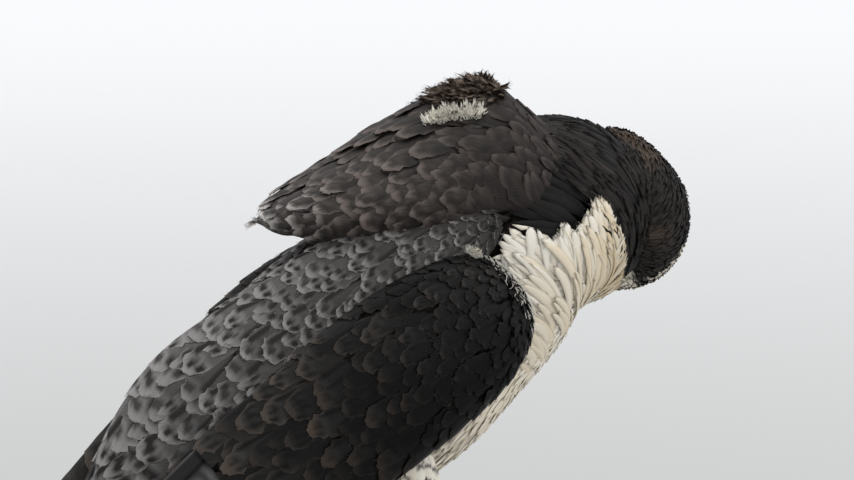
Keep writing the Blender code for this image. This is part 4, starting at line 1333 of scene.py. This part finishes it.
# The thighs wear loose trousers of cream feathers with dark bars, which hang over the top of the tarsus.
# They are rooted all round the thigh in rows, closer and shorter towards the foot.
for side_name, side in SIDES.items():
    form = thighs[side_name]
    roots = laid_rows(
        form,
        [
            (0.1, 0.5, 0.5, 1.9, 0.34, 0, 360),
            (2.0, 0.45, 0.45, 1.9, 0.3, 0, 360),
            (3.7, 0.36, 0.36, 1.6, 0.24, 0, 360),
        ],
        seed=91 + side,
    )
    coat = vanes_over(form, roots, SILKY_TIP, -0.003, 0.0004, seed=93 + side, steps=12, fray=0.2)
    reach, u, lot, _ = grids(roots, coat)
    wave = np.cos(2 * math.pi * (reach * 2.4 + 0.2 * np.abs(u) + 0.3 * lot))
    tone = blend(CREAM, BUFF, 0.4 * lot + 0 * reach * u)
    tone = blend(tone, BAR_BLACK, smooth_step(0.45, 0.85, wave) * 0.9)
    spots = bake_spots(form, roots)
    feather_piece("coat_thigh_" + side_name, coat, tone, spots, soft_feather)

# The flight feathers. Ten long primaries of each wing lie folded along the tail, each on the next. A quill
# is a narrow outer vane and a broad inner one either side of a stiff shaft, dark outside, barred within.
QUILL_TIP = ((0, 0.9), (0.3, 1.0), (0.6, 1.0), (0.8, 0.88), (0.92, 0.62), (0.98, 0.34), (1, 0.12))
QUILL_COLUMNS = np.array((-1, -0.8, -0.58, -0.36, -0.16, -0.05, 0, 0.05, 0.16, 0.36, 0.58, 0.8, 1))
SHAFT_RISE = 0.0004
QUILL_DEPTH = 0.0006
QUILL_DEPTH_AT_TIP = 0.0002
QUILL_STEPS = 40
PRIMARY_OUTER = (0.02, 0.019, 0.019)
PRIMARY_INNER = (0.1, 0.096, 0.094)
PRIMARY_BAR = (0.03, 0.028, 0.028)


def quill_vanes(paths, across, facing, halves, outline, shaft_at, arch, seed):
    """Long feathers along given paths: middles, the ways across and outwards, and the half width of each."""
    chance = np.random.default_rng(seed)
    count, steps, _ = paths.shape
    reach = np.linspace(0, 1, steps)
    wide = np.interp(reach, *np.array(outline).T)
    edge = 1 + 0.03 * chance.uniform(-1, 1, (count, steps, 2)) * smooth_step(0.2, 0.5, reach)[None, :, None]
    u = QUILL_COLUMNS
    shaft = np.broadcast_to(shaft_at, (count,))[:, None, None] * (1 - 0.6 * reach[None, :, None] ** 3)
    offset = np.where(u < 0, u * (1 + shaft) * edge[..., :1], u * (1 - shaft) * edge[..., 1:]) + shaft
    offset = offset * wide[None, :, None] * halves[:, None, None]
    on_shaft = (np.abs(u) < 0.01)[None, None, :] * (1 - 0.8 * reach[None, :, None])
    rise = arch * (1 - u**2)[None, None, :] * halves[:, None, None] + SHAFT_RISE * on_shaft
    top = paths[:, :, None] + across * offset[..., None] + facing[:, :, None] * rise[..., None]
    middle = len(u) // 2
    depth = QUILL_DEPTH * (1 - 0.7 * reach[None, :, None]) + QUILL_DEPTH_AT_TIP
    keel = top[:, :, middle] - facing * depth
    return {"top": top, "keel": keel, "out": facing, "reach": reach, "u": u, "spot": paths[:, 0]}


def quill_tone(roots, vanes, outer, inner, bar, bars, tip=None):
    """Dark towards one edge, barred towards the other, a pale line round the tip."""
    reach = vanes["reach"][None, :, None]
    u = vanes["u"][None, None, :] * roots["barred_side"][:, None, None]
    lot = roots["lot"][:, None, None]
    wave = np.cos(2 * math.pi * (reach * bars + 0.3 * np.abs(u) + 0.3 * lot))
    colour = blend(outer, inner, smooth_step(0.05, 0.3, u) + 0 * reach)
    colour = blend(colour, bar, smooth_step(-0.1, 0.4, wave) * smooth_step(0.0, 0.15, u) * 0.9)
    colour = blend(colour, SOOT, 0.8 * (np.abs(u) < 0.06) + 0 * reach)
    if tip is not None:
        colour = blend(colour, SOOT, smooth_step(0.78, 0.84, reach) * 0.85 + 0 * u)
        colour = blend(colour, tip, smooth_step(0.965, 0.985, reach) + 0 * u)
    return blend(colour, ASH, 0.5 * smooth_step(0.93, 1.0, np.abs(u)) + 0 * reach)


body_up = np.array(ACROSS_BODY)
PRIMARIES = 10
QUILL_GAP = 0.095
# Along the body axis: where the primaries are rooted, where the longest ends, and how much shorter each
# next one is.
PRIMARY_ROOT = -12.8
LONGEST_TIP = -31.7
TIP_STEP = 1.35
FAR_WING_LOWER = 0.35
for side_name, side in SIDES.items():
    stations = np.array(WING)
    k = np.arange(PRIMARIES)
    share = k / (PRIMARIES - 1)
    tip = LONGEST_TIP + TIP_STEP * np.maximum(k - 1, 0) + 0.3 * (k == 0)
    half = 1.12 - 0.2 * share
    reach = np.linspace(0, 1, QUILL_STEPS)
    back = PRIMARY_ROOT + reach[None, :] * (tip[:, None] - PRIMARY_ROOT)
    across, out, depth = (np.interp(-back, -stations[:, 0], stations[:, column]) for column in (1, 2, 4))
    spread = (2 * share[:, None] - 1) * np.maximum(depth - half[:, None], 0)
    x, z = along_body(back, across + spread - FAR_WING_LOWER * (side > 0))
    out = out + (k[:, None] - (PRIMARIES - 1) / 2) * QUILL_GAP
    paths = placed(np.stack([x, side * out, z], -1))
    runs = np.gradient(paths, axis=1)
    facing = np.cross(runs, body_up)
    facing *= np.sign(facing[..., 1:2] * side) / np.linalg.norm(facing, axis=-1, keepdims=True)
    lots = np.random.default_rng(95).random(PRIMARIES)
    vanes = quill_vanes(paths, body_up, facing, half * CM, QUILL_TIP, 0.35, 0.06, 96 + side)
    quills = {"lot": lots, "barred_side": -np.ones(PRIMARIES)}
    tone = quill_tone(quills, vanes, PRIMARY_OUTER, PRIMARY_INNER, PRIMARY_BAR, 13.0)
    patches = np.stack([0.04 + 0.092 * k, np.full(PRIMARIES, 0.5)], -1)
    piece = feather_piece(
        "primaries_" + side_name, vanes, tone, patches, gloss_feather, 0.08
    )
    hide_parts("flight_feathers_" + side_name)

# The tail: twelve feathers, the middle pair on top and each next pair below and a little to the side. They
# are slate with close dark bars, a broad dark band near the end and a pale tip.
TAIL_TIP = ((0, 0.9), (0.3, 1.0), (0.7, 1.0), (0.9, 0.97), (0.96, 0.82), (0.99, 0.55), (1, 0.3))
TAIL_PAIRS = 6
TAIL_ROOT = -12.6
TAIL_END = -31.0
TAIL_OUTER = (0.055, 0.053, 0.053)
TAIL_INNER = (0.12, 0.115, 0.112)
TAIL_BAR = (0.025, 0.024, 0.024)
TAIL_END_PALE = (0.5, 0.46, 0.38)
COVERT_SLATE = (0.1, 0.097, 0.096)
COVERT_SPOT = (0.02, 0.019, 0.019)
stations = np.array(TAIL)
rows = []
for k in range(TAIL_PAIRS):
    for side in SIDES.values():
        level = 0 if (k, side) == (0, -1) else k + 1
        reach = np.linspace(0, 1, QUILL_STEPS)
        back = TAIL_ROOT + reach * (TAIL_END + 0.07 * k * k - TAIL_ROOT)
        across, width = (np.interp(-back, -stations[:, 0], stations[:, column]) for column in (1, 3))
        spread = width / stations[-1, 3]
        outer = (0.55 + 0.385 * (k + 1)) * spread
        inner = -0.75 * spread if k == 0 else 0.2 * spread
        x, z = along_body(back, across + (3 - level) * QUILL_GAP)
        path = placed(np.stack([x, side * (outer + inner) / 2, z], -1))
        rows.append((level, path, (outer - inner) / 2, side, k))
tail_paths = np.stack([row[1] for row in rows])
tail_sides = np.array([row[3] for row in rows])
tail_rank = np.array([row[4] for row in rows])
tail_half = np.stack([row[2] for row in rows]).max(1) * CM
tail_facing = np.broadcast_to(body_up, tail_paths.shape)
tail_shafts = 0.35 * tail_sides * (tail_rank > 0)
tail_vanes = quill_vanes(
    tail_paths, np.array((0.0, 1.0, 0.0)), tail_facing, tail_half, TAIL_TIP, tail_shafts, 0.05, 98
)
tail_quills = {"lot": 0.1 * tail_rank, "barred_side": np.where(tail_rank > 0, -tail_sides, 1)}
tail_tone = quill_tone(tail_quills, tail_vanes, TAIL_OUTER, TAIL_INNER, TAIL_BAR, 15.0, TAIL_END_PALE)
tail_patches = np.stack([0.04 + 0.08 * np.arange(2 * TAIL_PAIRS), np.full(2 * TAIL_PAIRS, 0.5)], -1)
tail_piece = feather_piece(
    "tail_feathers", tail_vanes, tail_tone, tail_patches, gloss_feather, 0.07
)
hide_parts("tail")
for cover_name, turns, ground, dark, edge, finish, slot in (
    ("upper", (2, 178), COVERT_SLATE, COVERT_SPOT, ASH, dark_feather, "slate_plumage"),
    ("under", (184, 356), CREAM, BAR_BLACK, CREAM, soft_feather, "pale_plumage"),
):
    roots = laid_rows(
        tail,
        [
            (0.0, 0.8, 0.6, 3.2, 0.5, *turns),
            (0.45, 0.8, 0.6, 3.6, 0.5, *turns),
            (0.8, 0.8, 0.7, 4.0, 0.5, *turns),
        ],
        seed=101,
    )
    coat = vanes_over(
        tail, roots, ROUND_TIP, 0.0004, 0.0012 + 0.0008 * roots["lot"], seed=102, steps=14, fray=0.12
    )
    feather_piece(
        "coat_tail_" + cover_name, coat, mottled(roots, coat, ground, dark, edge), bake_spots(tail, roots),
        finish,
    )

# The bill. Hooked blue-grey horn, darker to the tip, with a tooth on each cutting edge of the upper half;
# the lower half closes inside it. Each half is drawn out from its root ring by ring.
def turn_ring(angle, centre):
    """Tips the selected ring forward. With no window, transform.rotate turns the other way."""
    bpy.ops.transform.rotate(value=-angle, orient_axis="Y", center_override=centre)


def drawn_out(name, stations, sides=12, levels=2):
    """A solid extruded from ring to ring in the upright plane. Each station gives how far ahead and how
    high its ring stands, and its half width and half height, in centimetres."""
    places = np.array(stations, float) * CM
    steps = np.gradient(places[:, :2], axis=0)
    tilts = np.arctan2(-steps[:, 1], steps[:, 0])
    bpy.ops.object.select_all(action="DESELECT")
    centre = (places[0, 0], 0, places[0, 1])
    bpy.ops.mesh.primitive_circle_add(
        vertices=sides, radius=1, fill_type="NGON", rotation=(0, math.pi / 2, 0)
    )
    obj = bpy.context.object
    obj.name = name
    bpy.ops.object.transform_apply(location=True, rotation=True, scale=True)
    bpy.ops.object.mode_set(mode="EDIT")
    bpy.ops.mesh.select_all(action="SELECT")
    bpy.ops.transform.resize(value=(1, places[0, 2], places[0, 3]), center_override=(0, 0, 0))
    bpy.ops.transform.translate(value=centre)
    turn_ring(tilts[0], centre)
    for k in range(1, len(places)):
        step = places[k, :2] - places[k - 1, :2]
        centre = (places[k, 0], 0, places[k, 1])
        bpy.ops.mesh.extrude_region_move(TRANSFORM_OT_translate={"value": (step[0], 0, step[1])})
        turn_ring(-tilts[k - 1], centre)
        growth = places[k, 2:] / places[k - 1, 2:]
        bpy.ops.transform.resize(value=(1, growth[0], growth[1]), center_override=centre)
        turn_ring(tilts[k], centre)
    bpy.ops.mesh.select_all(action="SELECT")
    bpy.ops.mesh.normals_make_consistent(inside=False)
    bpy.ops.object.mode_set(mode="OBJECT")
    apply_modifier(obj, "SUBSURF", levels=levels, render_levels=levels)
    bpy.ops.object.shade_smooth()
    return obj


def coordinates(obj):
    spots = np.empty(len(obj.data.vertices) * 3)
    obj.data.vertices.foreach_get("co", spots)
    return spots.reshape(-1, 3)


def raised(obj, height):
    """Moves the surface out along its normals by a height in centimetres, worked out from each place."""
    spots = coordinates(obj)
    normals = np.empty(len(spots) * 3)
    obj.data.vertices.foreach_get("normal", normals)
    spots = spots + normals.reshape(-1, 3) * height(spots / CM)[:, None] * CM
    obj.data.vertices.foreach_set("co", spots.reshape(-1))
    obj.data.update()


def toned(obj, colour):
    """The tone attribute, worked out from each place in centimetres."""
    values = np.ones((len(obj.data.vertices), 4), np.float32)
    values[:, :3] = colour(coordinates(obj) / CM)
    layer = obj.data.color_attributes.new("tone", "FLOAT_COLOR", "POINT")
    layer.data.foreach_set("color", values.reshape(-1))


def bump_at(spots, centre, reach):
    """1 at a place and its mirror place across the middle plane, falling to 0 about them."""
    away = (spots * (1, 0, 1) + np.abs(spots) * (0, 1, 0) - centre) / reach
    return np.exp(-(away**2).sum(1))


HEAD_PLACE = Matrix.Translation(Vector(placed(HEAD_CENTRE))) @ Matrix(head_turn.tolist()).to_4x4()


def finished(obj, material, slot, *replaced, place=HEAD_PLACE):
    obj.data.transform(place)
    obj.data.update()
    obj.data.materials.clear()
    obj.data.materials.append(material)
    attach(obj, "root")
    if replaced:
        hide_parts(*replaced)
    return obj


horn = Finish("bill_horn", Roughness=0.3, Coat_Roughness=0.15)
horn_place = horn.node("ShaderNodeTexCoord", output=3)
horn_tone = horn.node("ShaderNodeVertexColor", {"layer_name": "tone"})
horn_grain = horn.node(
    "ShaderNodeTexNoise", None, {"Vector": horn_place, "Scale": 420.0, "Detail": 3.0, "Distortion": 0.6}
)
horn_shade = {0: horn_tone, 3: horn_grain * 0.4 + 0.8}
horn.set("Base Color", horn.node("ShaderNodeVectorMath", {"operation": "SCALE"}, horn_shade))
horn.set("Coat Weight", 0.35)
horn_bump = {"Strength": 0.12, "Distance": 0.0003, "Height": horn_grain}
horn.set("Normal", horn.node("ShaderNodeBump", None, horn_bump))

BILL_ROOT = (0.2, 0.23, 0.26)
BILL_TIP = (0.018, 0.019, 0.022)
LOWER_ROOT = (0.24, 0.26, 0.27)
LOWER_TIP = (0.03, 0.031, 0.034)
UPPER_BILL = [
    (3.02, -0.1, 0.66, 0.55), (3.36, -0.12, 0.74, 0.6), (3.62, -0.14, 0.66, 0.58),
    (3.95, -0.27, 0.53, 0.5), (4.26, -0.52, 0.4, 0.41), (4.47, -0.88, 0.26, 0.28),
    (4.55, -1.22, 0.14, 0.17), (4.55, -1.46, 0.05, 0.06),
]
LOWER_BILL = [
    (2.6, -0.98, 0.86, 0.42), (3.1, -1.0, 0.72, 0.38), (3.5, -1.02, 0.58, 0.33), (3.9, -1.01, 0.4, 0.26),
    (4.15, -0.98, 0.24, 0.18), (4.28, -0.94, 0.1, 0.1),
]
upper_bill = drawn_out("bill_upper_horn", UPPER_BILL, sides=16, levels=3)
raised(upper_bill, lambda at: (
    0.1 * bump_at(at, (4.02, 0.3, -0.86), 0.11)
    - 0.05 * bump_at(at, (4.16, 0.2, -1.02), 0.1)
    + 0.03 * np.exp(-((at[:, 1] / 0.12) ** 2)) * (at[:, 2] > -0.2 - (at[:, 0] - 3.4) * 0.3)
    - 0.02 * bump_at(at, (3.7, 0.6, -0.3), 0.22)
))
toned(upper_bill, lambda at: blend(
    BILL_ROOT, BILL_TIP, smooth_step(3.55, 4.5, at[:, 0] - 0.45 * np.minimum(at[:, 2] + 0.4, 0))
))
finished(upper_bill, horn.material, "blue_grey_horn", "bill_upper")
lower_bill = drawn_out("bill_lower_horn", LOWER_BILL, sides=16, levels=3)
toned(lower_bill, lambda at: blend(LOWER_ROOT, LOWER_TIP, smooth_step(3.3, 4.2, at[:, 0])))
finished(lower_bill, horn.material, "blue_grey_horn", "bill_lower")

# The cere, the bare yellow skin at the root of the bill, is swollen round each nostril: a round hole with
# a small peg of bone in it. The gape, a soft yellow lip, runs back from the bill to under the eye.
bare_skin = Finish("bare_yellow_skin", Roughness=0.48, Specular_IOR_Level=0.4)
skin_place = bare_skin.node("ShaderNodeTexCoord", output=3)
skin_tone = bare_skin.node("ShaderNodeVertexColor", {"layer_name": "tone"})
skin_cells = bare_skin.node(
    "ShaderNodeTexVoronoi", {"feature": "DISTANCE_TO_EDGE"}, {"Vector": skin_place, "Scale": 900.0}
)
skin_cell_tops = bare_skin.node(
    "ShaderNodeMapRange",
    {"interpolation_type": "SMOOTHSTEP"},
    {"Value": skin_cells, "From Min": 0.0, "From Max": 0.22},
)
skin_shade = {0: skin_tone, 3: skin_cell_tops * 0.12 + 0.88}
bare_skin.set("Base Color", bare_skin.node("ShaderNodeVectorMath", {"operation": "SCALE"}, skin_shade))
skin_bump = {"Strength": 0.14, "Distance": 0.0003, "Height": skin_cell_tops}
bare_skin.set("Normal", bare_skin.node("ShaderNodeBump", None, skin_bump))
YELLOW = (0.72, 0.45, 0.045)
CREASE = (0.3, 0.2, 0.08)
NOSTRIL_SHADE = (0.02, 0.013, 0.008)
NOSTRIL = (3.1, 0.8, 0.12)
CERE = [
    (2.45, -0.2, 1.02, 0.8), (2.8, -0.17, 0.99, 0.7), (3.06, -0.12, 0.87, 0.67), (3.3, -0.09, 0.78, 0.64),
    (3.42, -0.1, 0.7, 0.58),
]
GAPE = [
    (-0.1, 0.0, 0.05, 0.05), (0.3, -0.02, 0.09, 0.065), (0.7, -0.05, 0.1, 0.065), (1.1, -0.1, 0.09, 0.055),
    (1.38, -0.17, 0.04, 0.03),
]
GAPE_CORNER = (0.0342, 0.0056, -0.0078)
GAPE_BEARING = 157


def from_nostril(at):
    """How far a place is from the nostril on its side. The ridge between the nostrils counts as far off."""
    return np.hypot(at[:, 0] - NOSTRIL[0], at[:, 2] - NOSTRIL[2]) + 9.0 * (np.abs(at[:, 1]) < 0.45)


def nostril_tone(at):
    skin_yellow = blend(YELLOW, CREASE, 0.25 * smooth_step(2.9, 2.7, at[:, 0]))
    away = from_nostril(at)
    # Painted shade: the nostril's hollow is darkened round the peg.
    return blend(skin_yellow, NOSTRIL_SHADE, smooth_step(0.13, 0.08, away) * (away > 0.04))


cere = drawn_out("cere_skin", CERE, sides=16, levels=4)
raised(cere, lambda at: (
    0.07 * np.exp(-((from_nostril(at) / 0.26) ** 2))
    - 0.26 * np.exp(-((from_nostril(at) / 0.12) ** 4))
    + 0.17 * np.exp(-((from_nostril(at) / 0.045) ** 2))
    - 0.05 * np.exp(-((at[:, 1] / 0.1) ** 2)) * (at[:, 2] > 0.2)
))
toned(cere, nostril_tone)
finished(cere, bare_skin.material, "bare_yellow_skin", "cere")
for side_name, side in SIDES.items():
    gape = drawn_out("gape_" + side_name, GAPE, sides=10, levels=2)
    toned(gape, lambda at: blend(YELLOW, CREASE, 0.3 * smooth_step(1.1, 1.6, at[:, 0])))
    corner = Matrix.Translation(Vector(GAPE_CORNER) * Vector((1, side, 1)))
    run_back = Matrix.Rotation(side * math.radians(GAPE_BEARING), 4, "Z")
    finished(gape, bare_skin.material, "bare_yellow_skin", place=HEAD_PLACE @ corner @ run_back)

# The eyes are large, round and dark brown, wet, and sunk under the brow. A ring of bare yellow skin,
# finely wrinkled, closes round each as its lids.
EYE_RADIUS = 0.8
LID_RADIUS = 0.6
LID_THICKNESS = 0.075
LID_WRINKLES = 44
LID_EDGE = (0.1, 0.06, 0.03)
CORNEA_RISE = 0.05
# How far ahead and how far up an eye looks, for one step out to its side.
EYE_LOOKS = (0.32, 0.06)
eye_finish = Finish("wet_eye", Roughness=0.08, Specular_IOR_Level=0.2)
eye_map = eye_finish.node("ShaderNodeUVMap", {"uv_map": "UVMap"})
eye_height = eye_finish.node("ShaderNodeSeparateXYZ", None, {0: eye_map}, output=1)
eye_round = eye_finish.node("ShaderNodeSeparateXYZ", None, {0: eye_map})
thread_place = eye_finish.node("ShaderNodeCombineXYZ", None, {0: eye_round * 60.0, 1: eye_height * 6.0})
eye_threads = eye_finish.node(
    "ShaderNodeTexNoise", {"noise_dimensions": "2D"}, {"Vector": thread_place, "Scale": 1.0}
)
iris = eye_finish.node(
    "ShaderNodeValToRGB",
    {"stops": (
        (0.0, (0.02, 0.014, 0.01, 1)),
        (0.7, (0.012, 0.008, 0.006, 1)),
        (0.735, (0.055, 0.026, 0.012, 1)),
        (0.84, (0.035, 0.017, 0.009, 1)),
        (0.862, (0.002, 0.002, 0.002, 1)),
        (1.0, (0.001, 0.001, 0.001, 1)),
    )},
    {"Fac": eye_height},
)
iris_shade = {0: iris, 3: eye_threads * 1.2 + 0.4}
eye_finish.set("Base Color", eye_finish.node("ShaderNodeVectorMath", {"operation": "SCALE"}, iris_shade))
eye_finish.set("Coat Weight", 0.4)


def from_axis(at):
    """How far a place of the eye is from the line that the eye looks along."""
    return np.hypot(at[:, 0], at[:, 1])


def lid_wrinkles(at):
    """Fine wrinkles across the lids, and corners that stand up before and behind the eye."""
    wrinkles = 0.007 * np.cos(LID_WRINKLES * np.arctan2(at[:, 1], at[:, 0]))
    corners = 0.05 * smooth_step(0.3, 0.65, np.abs(at[:, 0])) * (from_axis(at) > 0.62)
    return wrinkles * smooth_step(0.58, 0.66, from_axis(at)) + corners


for side_name, side in SIDES.items():
    outwards = Vector((EYE_LOOKS[0], side, EYE_LOOKS[1])).normalized()
    facing_out = outwards.to_track_quat("Z", "Y").to_matrix().to_4x4()
    eye_place = HEAD_PLACE @ Matrix.Translation(Vector(EYE_CENTRE * (1, side, 1)) * CM) @ facing_out
    bpy.ops.object.select_all(action="DESELECT")
    bpy.ops.mesh.primitive_uv_sphere_add(segments=64, ring_count=40, radius=EYE_RADIUS * CM)
    eye = bpy.context.object
    eye.name = "eyeball_" + side_name
    raised(eye, lambda at: CORNEA_RISE * smooth_step(0.5, 0.1, from_axis(at)) * (at[:, 2] > 0))
    bpy.ops.object.shade_smooth()
    finished(eye, eye_finish.material, "dark_eye", "eye_" + side_name, place=eye_place)
    bpy.ops.object.select_all(action="DESELECT")
    bpy.ops.mesh.primitive_torus_add(
        major_radius=(LID_RADIUS + 0.03) * CM, minor_radius=LID_THICKNESS * CM,
        major_segments=160, minor_segments=20,
    )
    lids = bpy.context.object
    lids.name = "lids_" + side_name
    raised(lids, lid_wrinkles)
    bpy.ops.object.shade_smooth()
    toned(lids, lambda at: blend(YELLOW, LID_EDGE, smooth_step(0.57, 0.53, from_axis(at))))
    rim_height = math.sqrt(EYE_RADIUS**2 - LID_RADIUS**2) * CM
    on_rim = Matrix.Translation((0, 0, rim_height))
    finished(lids, bare_skin.material, "bare_yellow_skin", place=eye_place @ on_rim)

# The feet. Strong yellow toes, three ahead and one behind, with pads below and broad plates above, on a
# short bare tarsus covered in small rounded scales.
TARSUS = [(6.5, -3.6, 0.46, 0.48), (4.6, -3.3, 0.36, 0.38), (2.6, -2.85, 0.38, 0.4), (1.35, -2.6, 0.48, 0.5)]
TARSUS_OUT = 3.28
FOOT_CENTRE = (-2.4, 3.3)
BALL_HEIGHT = 1.55
BALL_RADIUS = 0.72
# Bearing in degrees outwards from straight ahead, length, and length of the claw.
TOES = {"middle": (4, 4.8, 1.5), "inner": (-32, 3.3, 1.7), "outer": (38, 3.7, 1.35), "hind": (172, 2.1, 1.9)}
TOE_PADS = (
    (0.0, 0.46), (0.17, 0.4), (0.3, 0.42), (0.43, 0.36), (0.56, 0.39), (0.68, 0.33), (0.82, 0.38),
    (0.93, 0.33), (1.0, 0.24),
)
CLAW_TAPER = ((0.0, 0.27), (0.2, 0.25), (0.4, 0.2), (0.6, 0.155), (0.8, 0.1), (0.93, 0.05), (1.0, 0.02))
CLAW_BEND = 1.25
CLAW_HEIGHT = 0.42
SOLE_DEPTH = 0.07
FOOT_VOXEL = 0.0005
FOOT_SHADE = 0.62
SCALE_SHAPE = ((0, 0.8), (0.2, 1.0), (0.5, 1.0), (0.8, 0.94), (0.93, 0.78), (1, 0.5))
claw_finish = Finish("claw_horn", Roughness=0.26, Base_Color=(0.012, 0.012, 0.013, 1))
claw_finish.set("Coat Weight", 0.3)


def scale_tone(roots, vanes):
    """Yellow, greyer between the scales."""
    reach = vanes["reach"][None, :, None]
    u = vanes["u"][None, None, :]
    level = (0.85 + 0.3 * roots["lot"])[:, None, None, None]
    rim = np.maximum(smooth_step(0.7, 1.0, np.abs(u)), smooth_step(0.8, 1.0, reach)) * 0.22
    return blend(np.array(YELLOW) * level * np.ones_like(reach * u)[..., None], CREASE, rim)


for side_name, side in SIDES.items():
    centre = np.array((FOOT_CENTRE[0], side * FOOT_CENTRE[1], 0.0))
    shells, coats = [], []
    for toe_name, (bearing, length, claw_length) in TOES.items():
        turn = math.radians(bearing) * side
        ahead = np.array((math.cos(turn), math.sin(turn), 0.0))
        stations = []
        for share, radius in TOE_PADS:
            spot = centre + ahead * share * length
            height = radius - SOLE_DEPTH + 0.12 * (1 - share)
            stations.append((spot[0], spot[1], height, radius, radius, radius))
        toe = Form(stations, lie=1)
        shells.append(toe.loft(rings=50, sides=28))
        plates = laid_rows(
            toe, [(0.3, 0.36, 2.0, 0.46, 0.36, 30, 150), (7.7, 0.3, 2.0, 0.38, 0.3, 30, 150)], 111, 0.03
        )
        plates["turn"] = np.full(len(plates["run"]), math.pi / 2)
        grains = laid_rows(
            toe, [(0.2, 0.2, 0.2, 0.27, 0.11, 152, 388), (7.7, 0.17, 0.17, 0.23, 0.095, 152, 388)], 112, 0.08
        )
        coats.append((toe, plates, 9, 0.0003, 112))
        coats.append((toe, grains, 5, 0.0001, 113))
        claw_path = []
        for share, radius in CLAW_TAPER:
            bend = share * CLAW_BEND
            along = claw_length * math.sin(bend) / CLAW_BEND - 0.15
            height = CLAW_HEIGHT + 0.12 * math.sin(bend * 2) - 0.36 * share * share
            claw_path.append((along, height, radius * 0.8, radius))
        claw = drawn_out(f"talon_{toe_name}_{side_name}", claw_path, sides=12, levels=2)
        toe_end = Matrix.Translation(Vector(placed(centre + ahead * length)))
        finished(
            claw, claw_finish.material, "black_horn", f"claw_{toe_name}_{side_name}",
            place=toe_end @ Matrix.Rotation(turn, 4, "Z"),
        )
    shank = Form(
        [(x, side * TARSUS_OUT, z, wide, deep, deep) for z, x, wide, deep in TARSUS], up=(1, 0, 0.2), lie=1
    )
    shells.append(shank.loft(rings=50, sides=28))
    ball_stations = []
    for k in range(5):
        radius = BALL_RADIUS * math.sqrt(1 - ((k - 2) / 2.2) ** 2)
        place = (FOOT_CENTRE[0] + 0.1 * k, side * FOOT_CENTRE[1], BALL_HEIGHT - 0.35 * k)
        ball_stations.append((*place, radius, radius, radius))
    ball = Form(ball_stations, up=(1, 0, 0.2), lie=1)
    shells.append(ball.loft(rings=30, sides=32))
    grains = laid_rows(
        shank, [(0.1, 0.24, 0.24, 0.32, 0.13, 0, 360), (2.9, 0.22, 0.22, 0.3, 0.12, 0, 360)], 114, 0.08
    )
    shields = laid_rows(
        shank, [(0.6, 0.34, 2.0, 0.44, 0.3, 60, 120), (2.95, 0.3, 2.0, 0.4, 0.3, 60, 120)], 115, 0.03
    )
    shields["turn"] = np.full(len(shields["run"]), math.pi / 2)
    pebbles = laid_rows(
        ball, [(0.5, 0.2, 0.2, 0.27, 0.11, 0, 360), (3.6, 0.2, 0.2, 0.27, 0.11, 0, 360)], 118, 0.08
    )
    coats.append((shank, grains, 5, 0.0001, 116))
    coats.append((shank, shields, 9, 0.0003, 117))
    coats.append((ball, pebbles, 5, 0.0001, 119))
    foot = fused("foot_skin_" + side_name, shells, FOOT_VOXEL, smoothing=4)
    spots = coordinates(foot)
    spots[:, 2] = np.maximum(spots[:, 2], 0.0)
    foot.data.vertices.foreach_set("co", spots.reshape(-1))
    foot.data.update()
    toned(foot, lambda at: np.full((len(at), 3), YELLOW) * FOOT_SHADE)
    finished(
        foot, bare_skin.material, "bare_yellow_skin", "foot_" + side_name, "tarsus_" + side_name,
        place=Matrix.Identity(4),
    )
    for k, (form, roots, columns, lift, seed) in enumerate(coats):
        scales = vanes_over(
            form, roots, SCALE_SHAPE, -0.0003, lift, seed=seed, steps=5, columns=columns, fray=0.0,
            camber=0.0001, sweep=0.1,
        )
        scales["top"][..., 2] = np.maximum(scales["top"][..., 2], 0.0)
        scales["keel"][..., 2] = np.maximum(scales["keel"][..., 2], 0.0)
        feather_piece(
            f"scales_{k}_{side_name}", scales, scale_tone(roots, scales), bake_spots(form, roots),
            bare_skin.material, tints_skin=False,
        )

# The skin's colours. Each place of it takes, last of all, the colour of the feather that is rooted nearest
# to it, darkened a little as painted shade, so that nothing pale shows where feathers part.
spots = np.concatenate([spot for spot, _ in coat_samples])
tones = np.concatenate([tone for _, tone in coat_samples])
tree = kdtree.KDTree(len(spots))
for k, spot in enumerate(spots):
    tree.insert(spot, k)
tree.balance()
# Painted shade: the skin is a little darker than the feather nearest to it.
skin_tones = np.ones((len(skin.data.vertices), 4), np.float32)
for k, vertex in enumerate(skin.data.vertices):
    skin_tones[k, :3] = tones[tree.find(vertex.co)[1]] * 0.8
layer = skin.data.color_attributes.new("tone", "FLOAT_COLOR", "POINT")
layer.data.foreach_set("color", skin_tones.reshape(-1))
under = Finish("skin_under_feathers", Roughness=0.85, Specular_IOR_Level=0.1)
under.set("Base Color", under.node("ShaderNodeVertexColor", {"layer_name": "tone"}))
skin.data.materials.append(under.material)
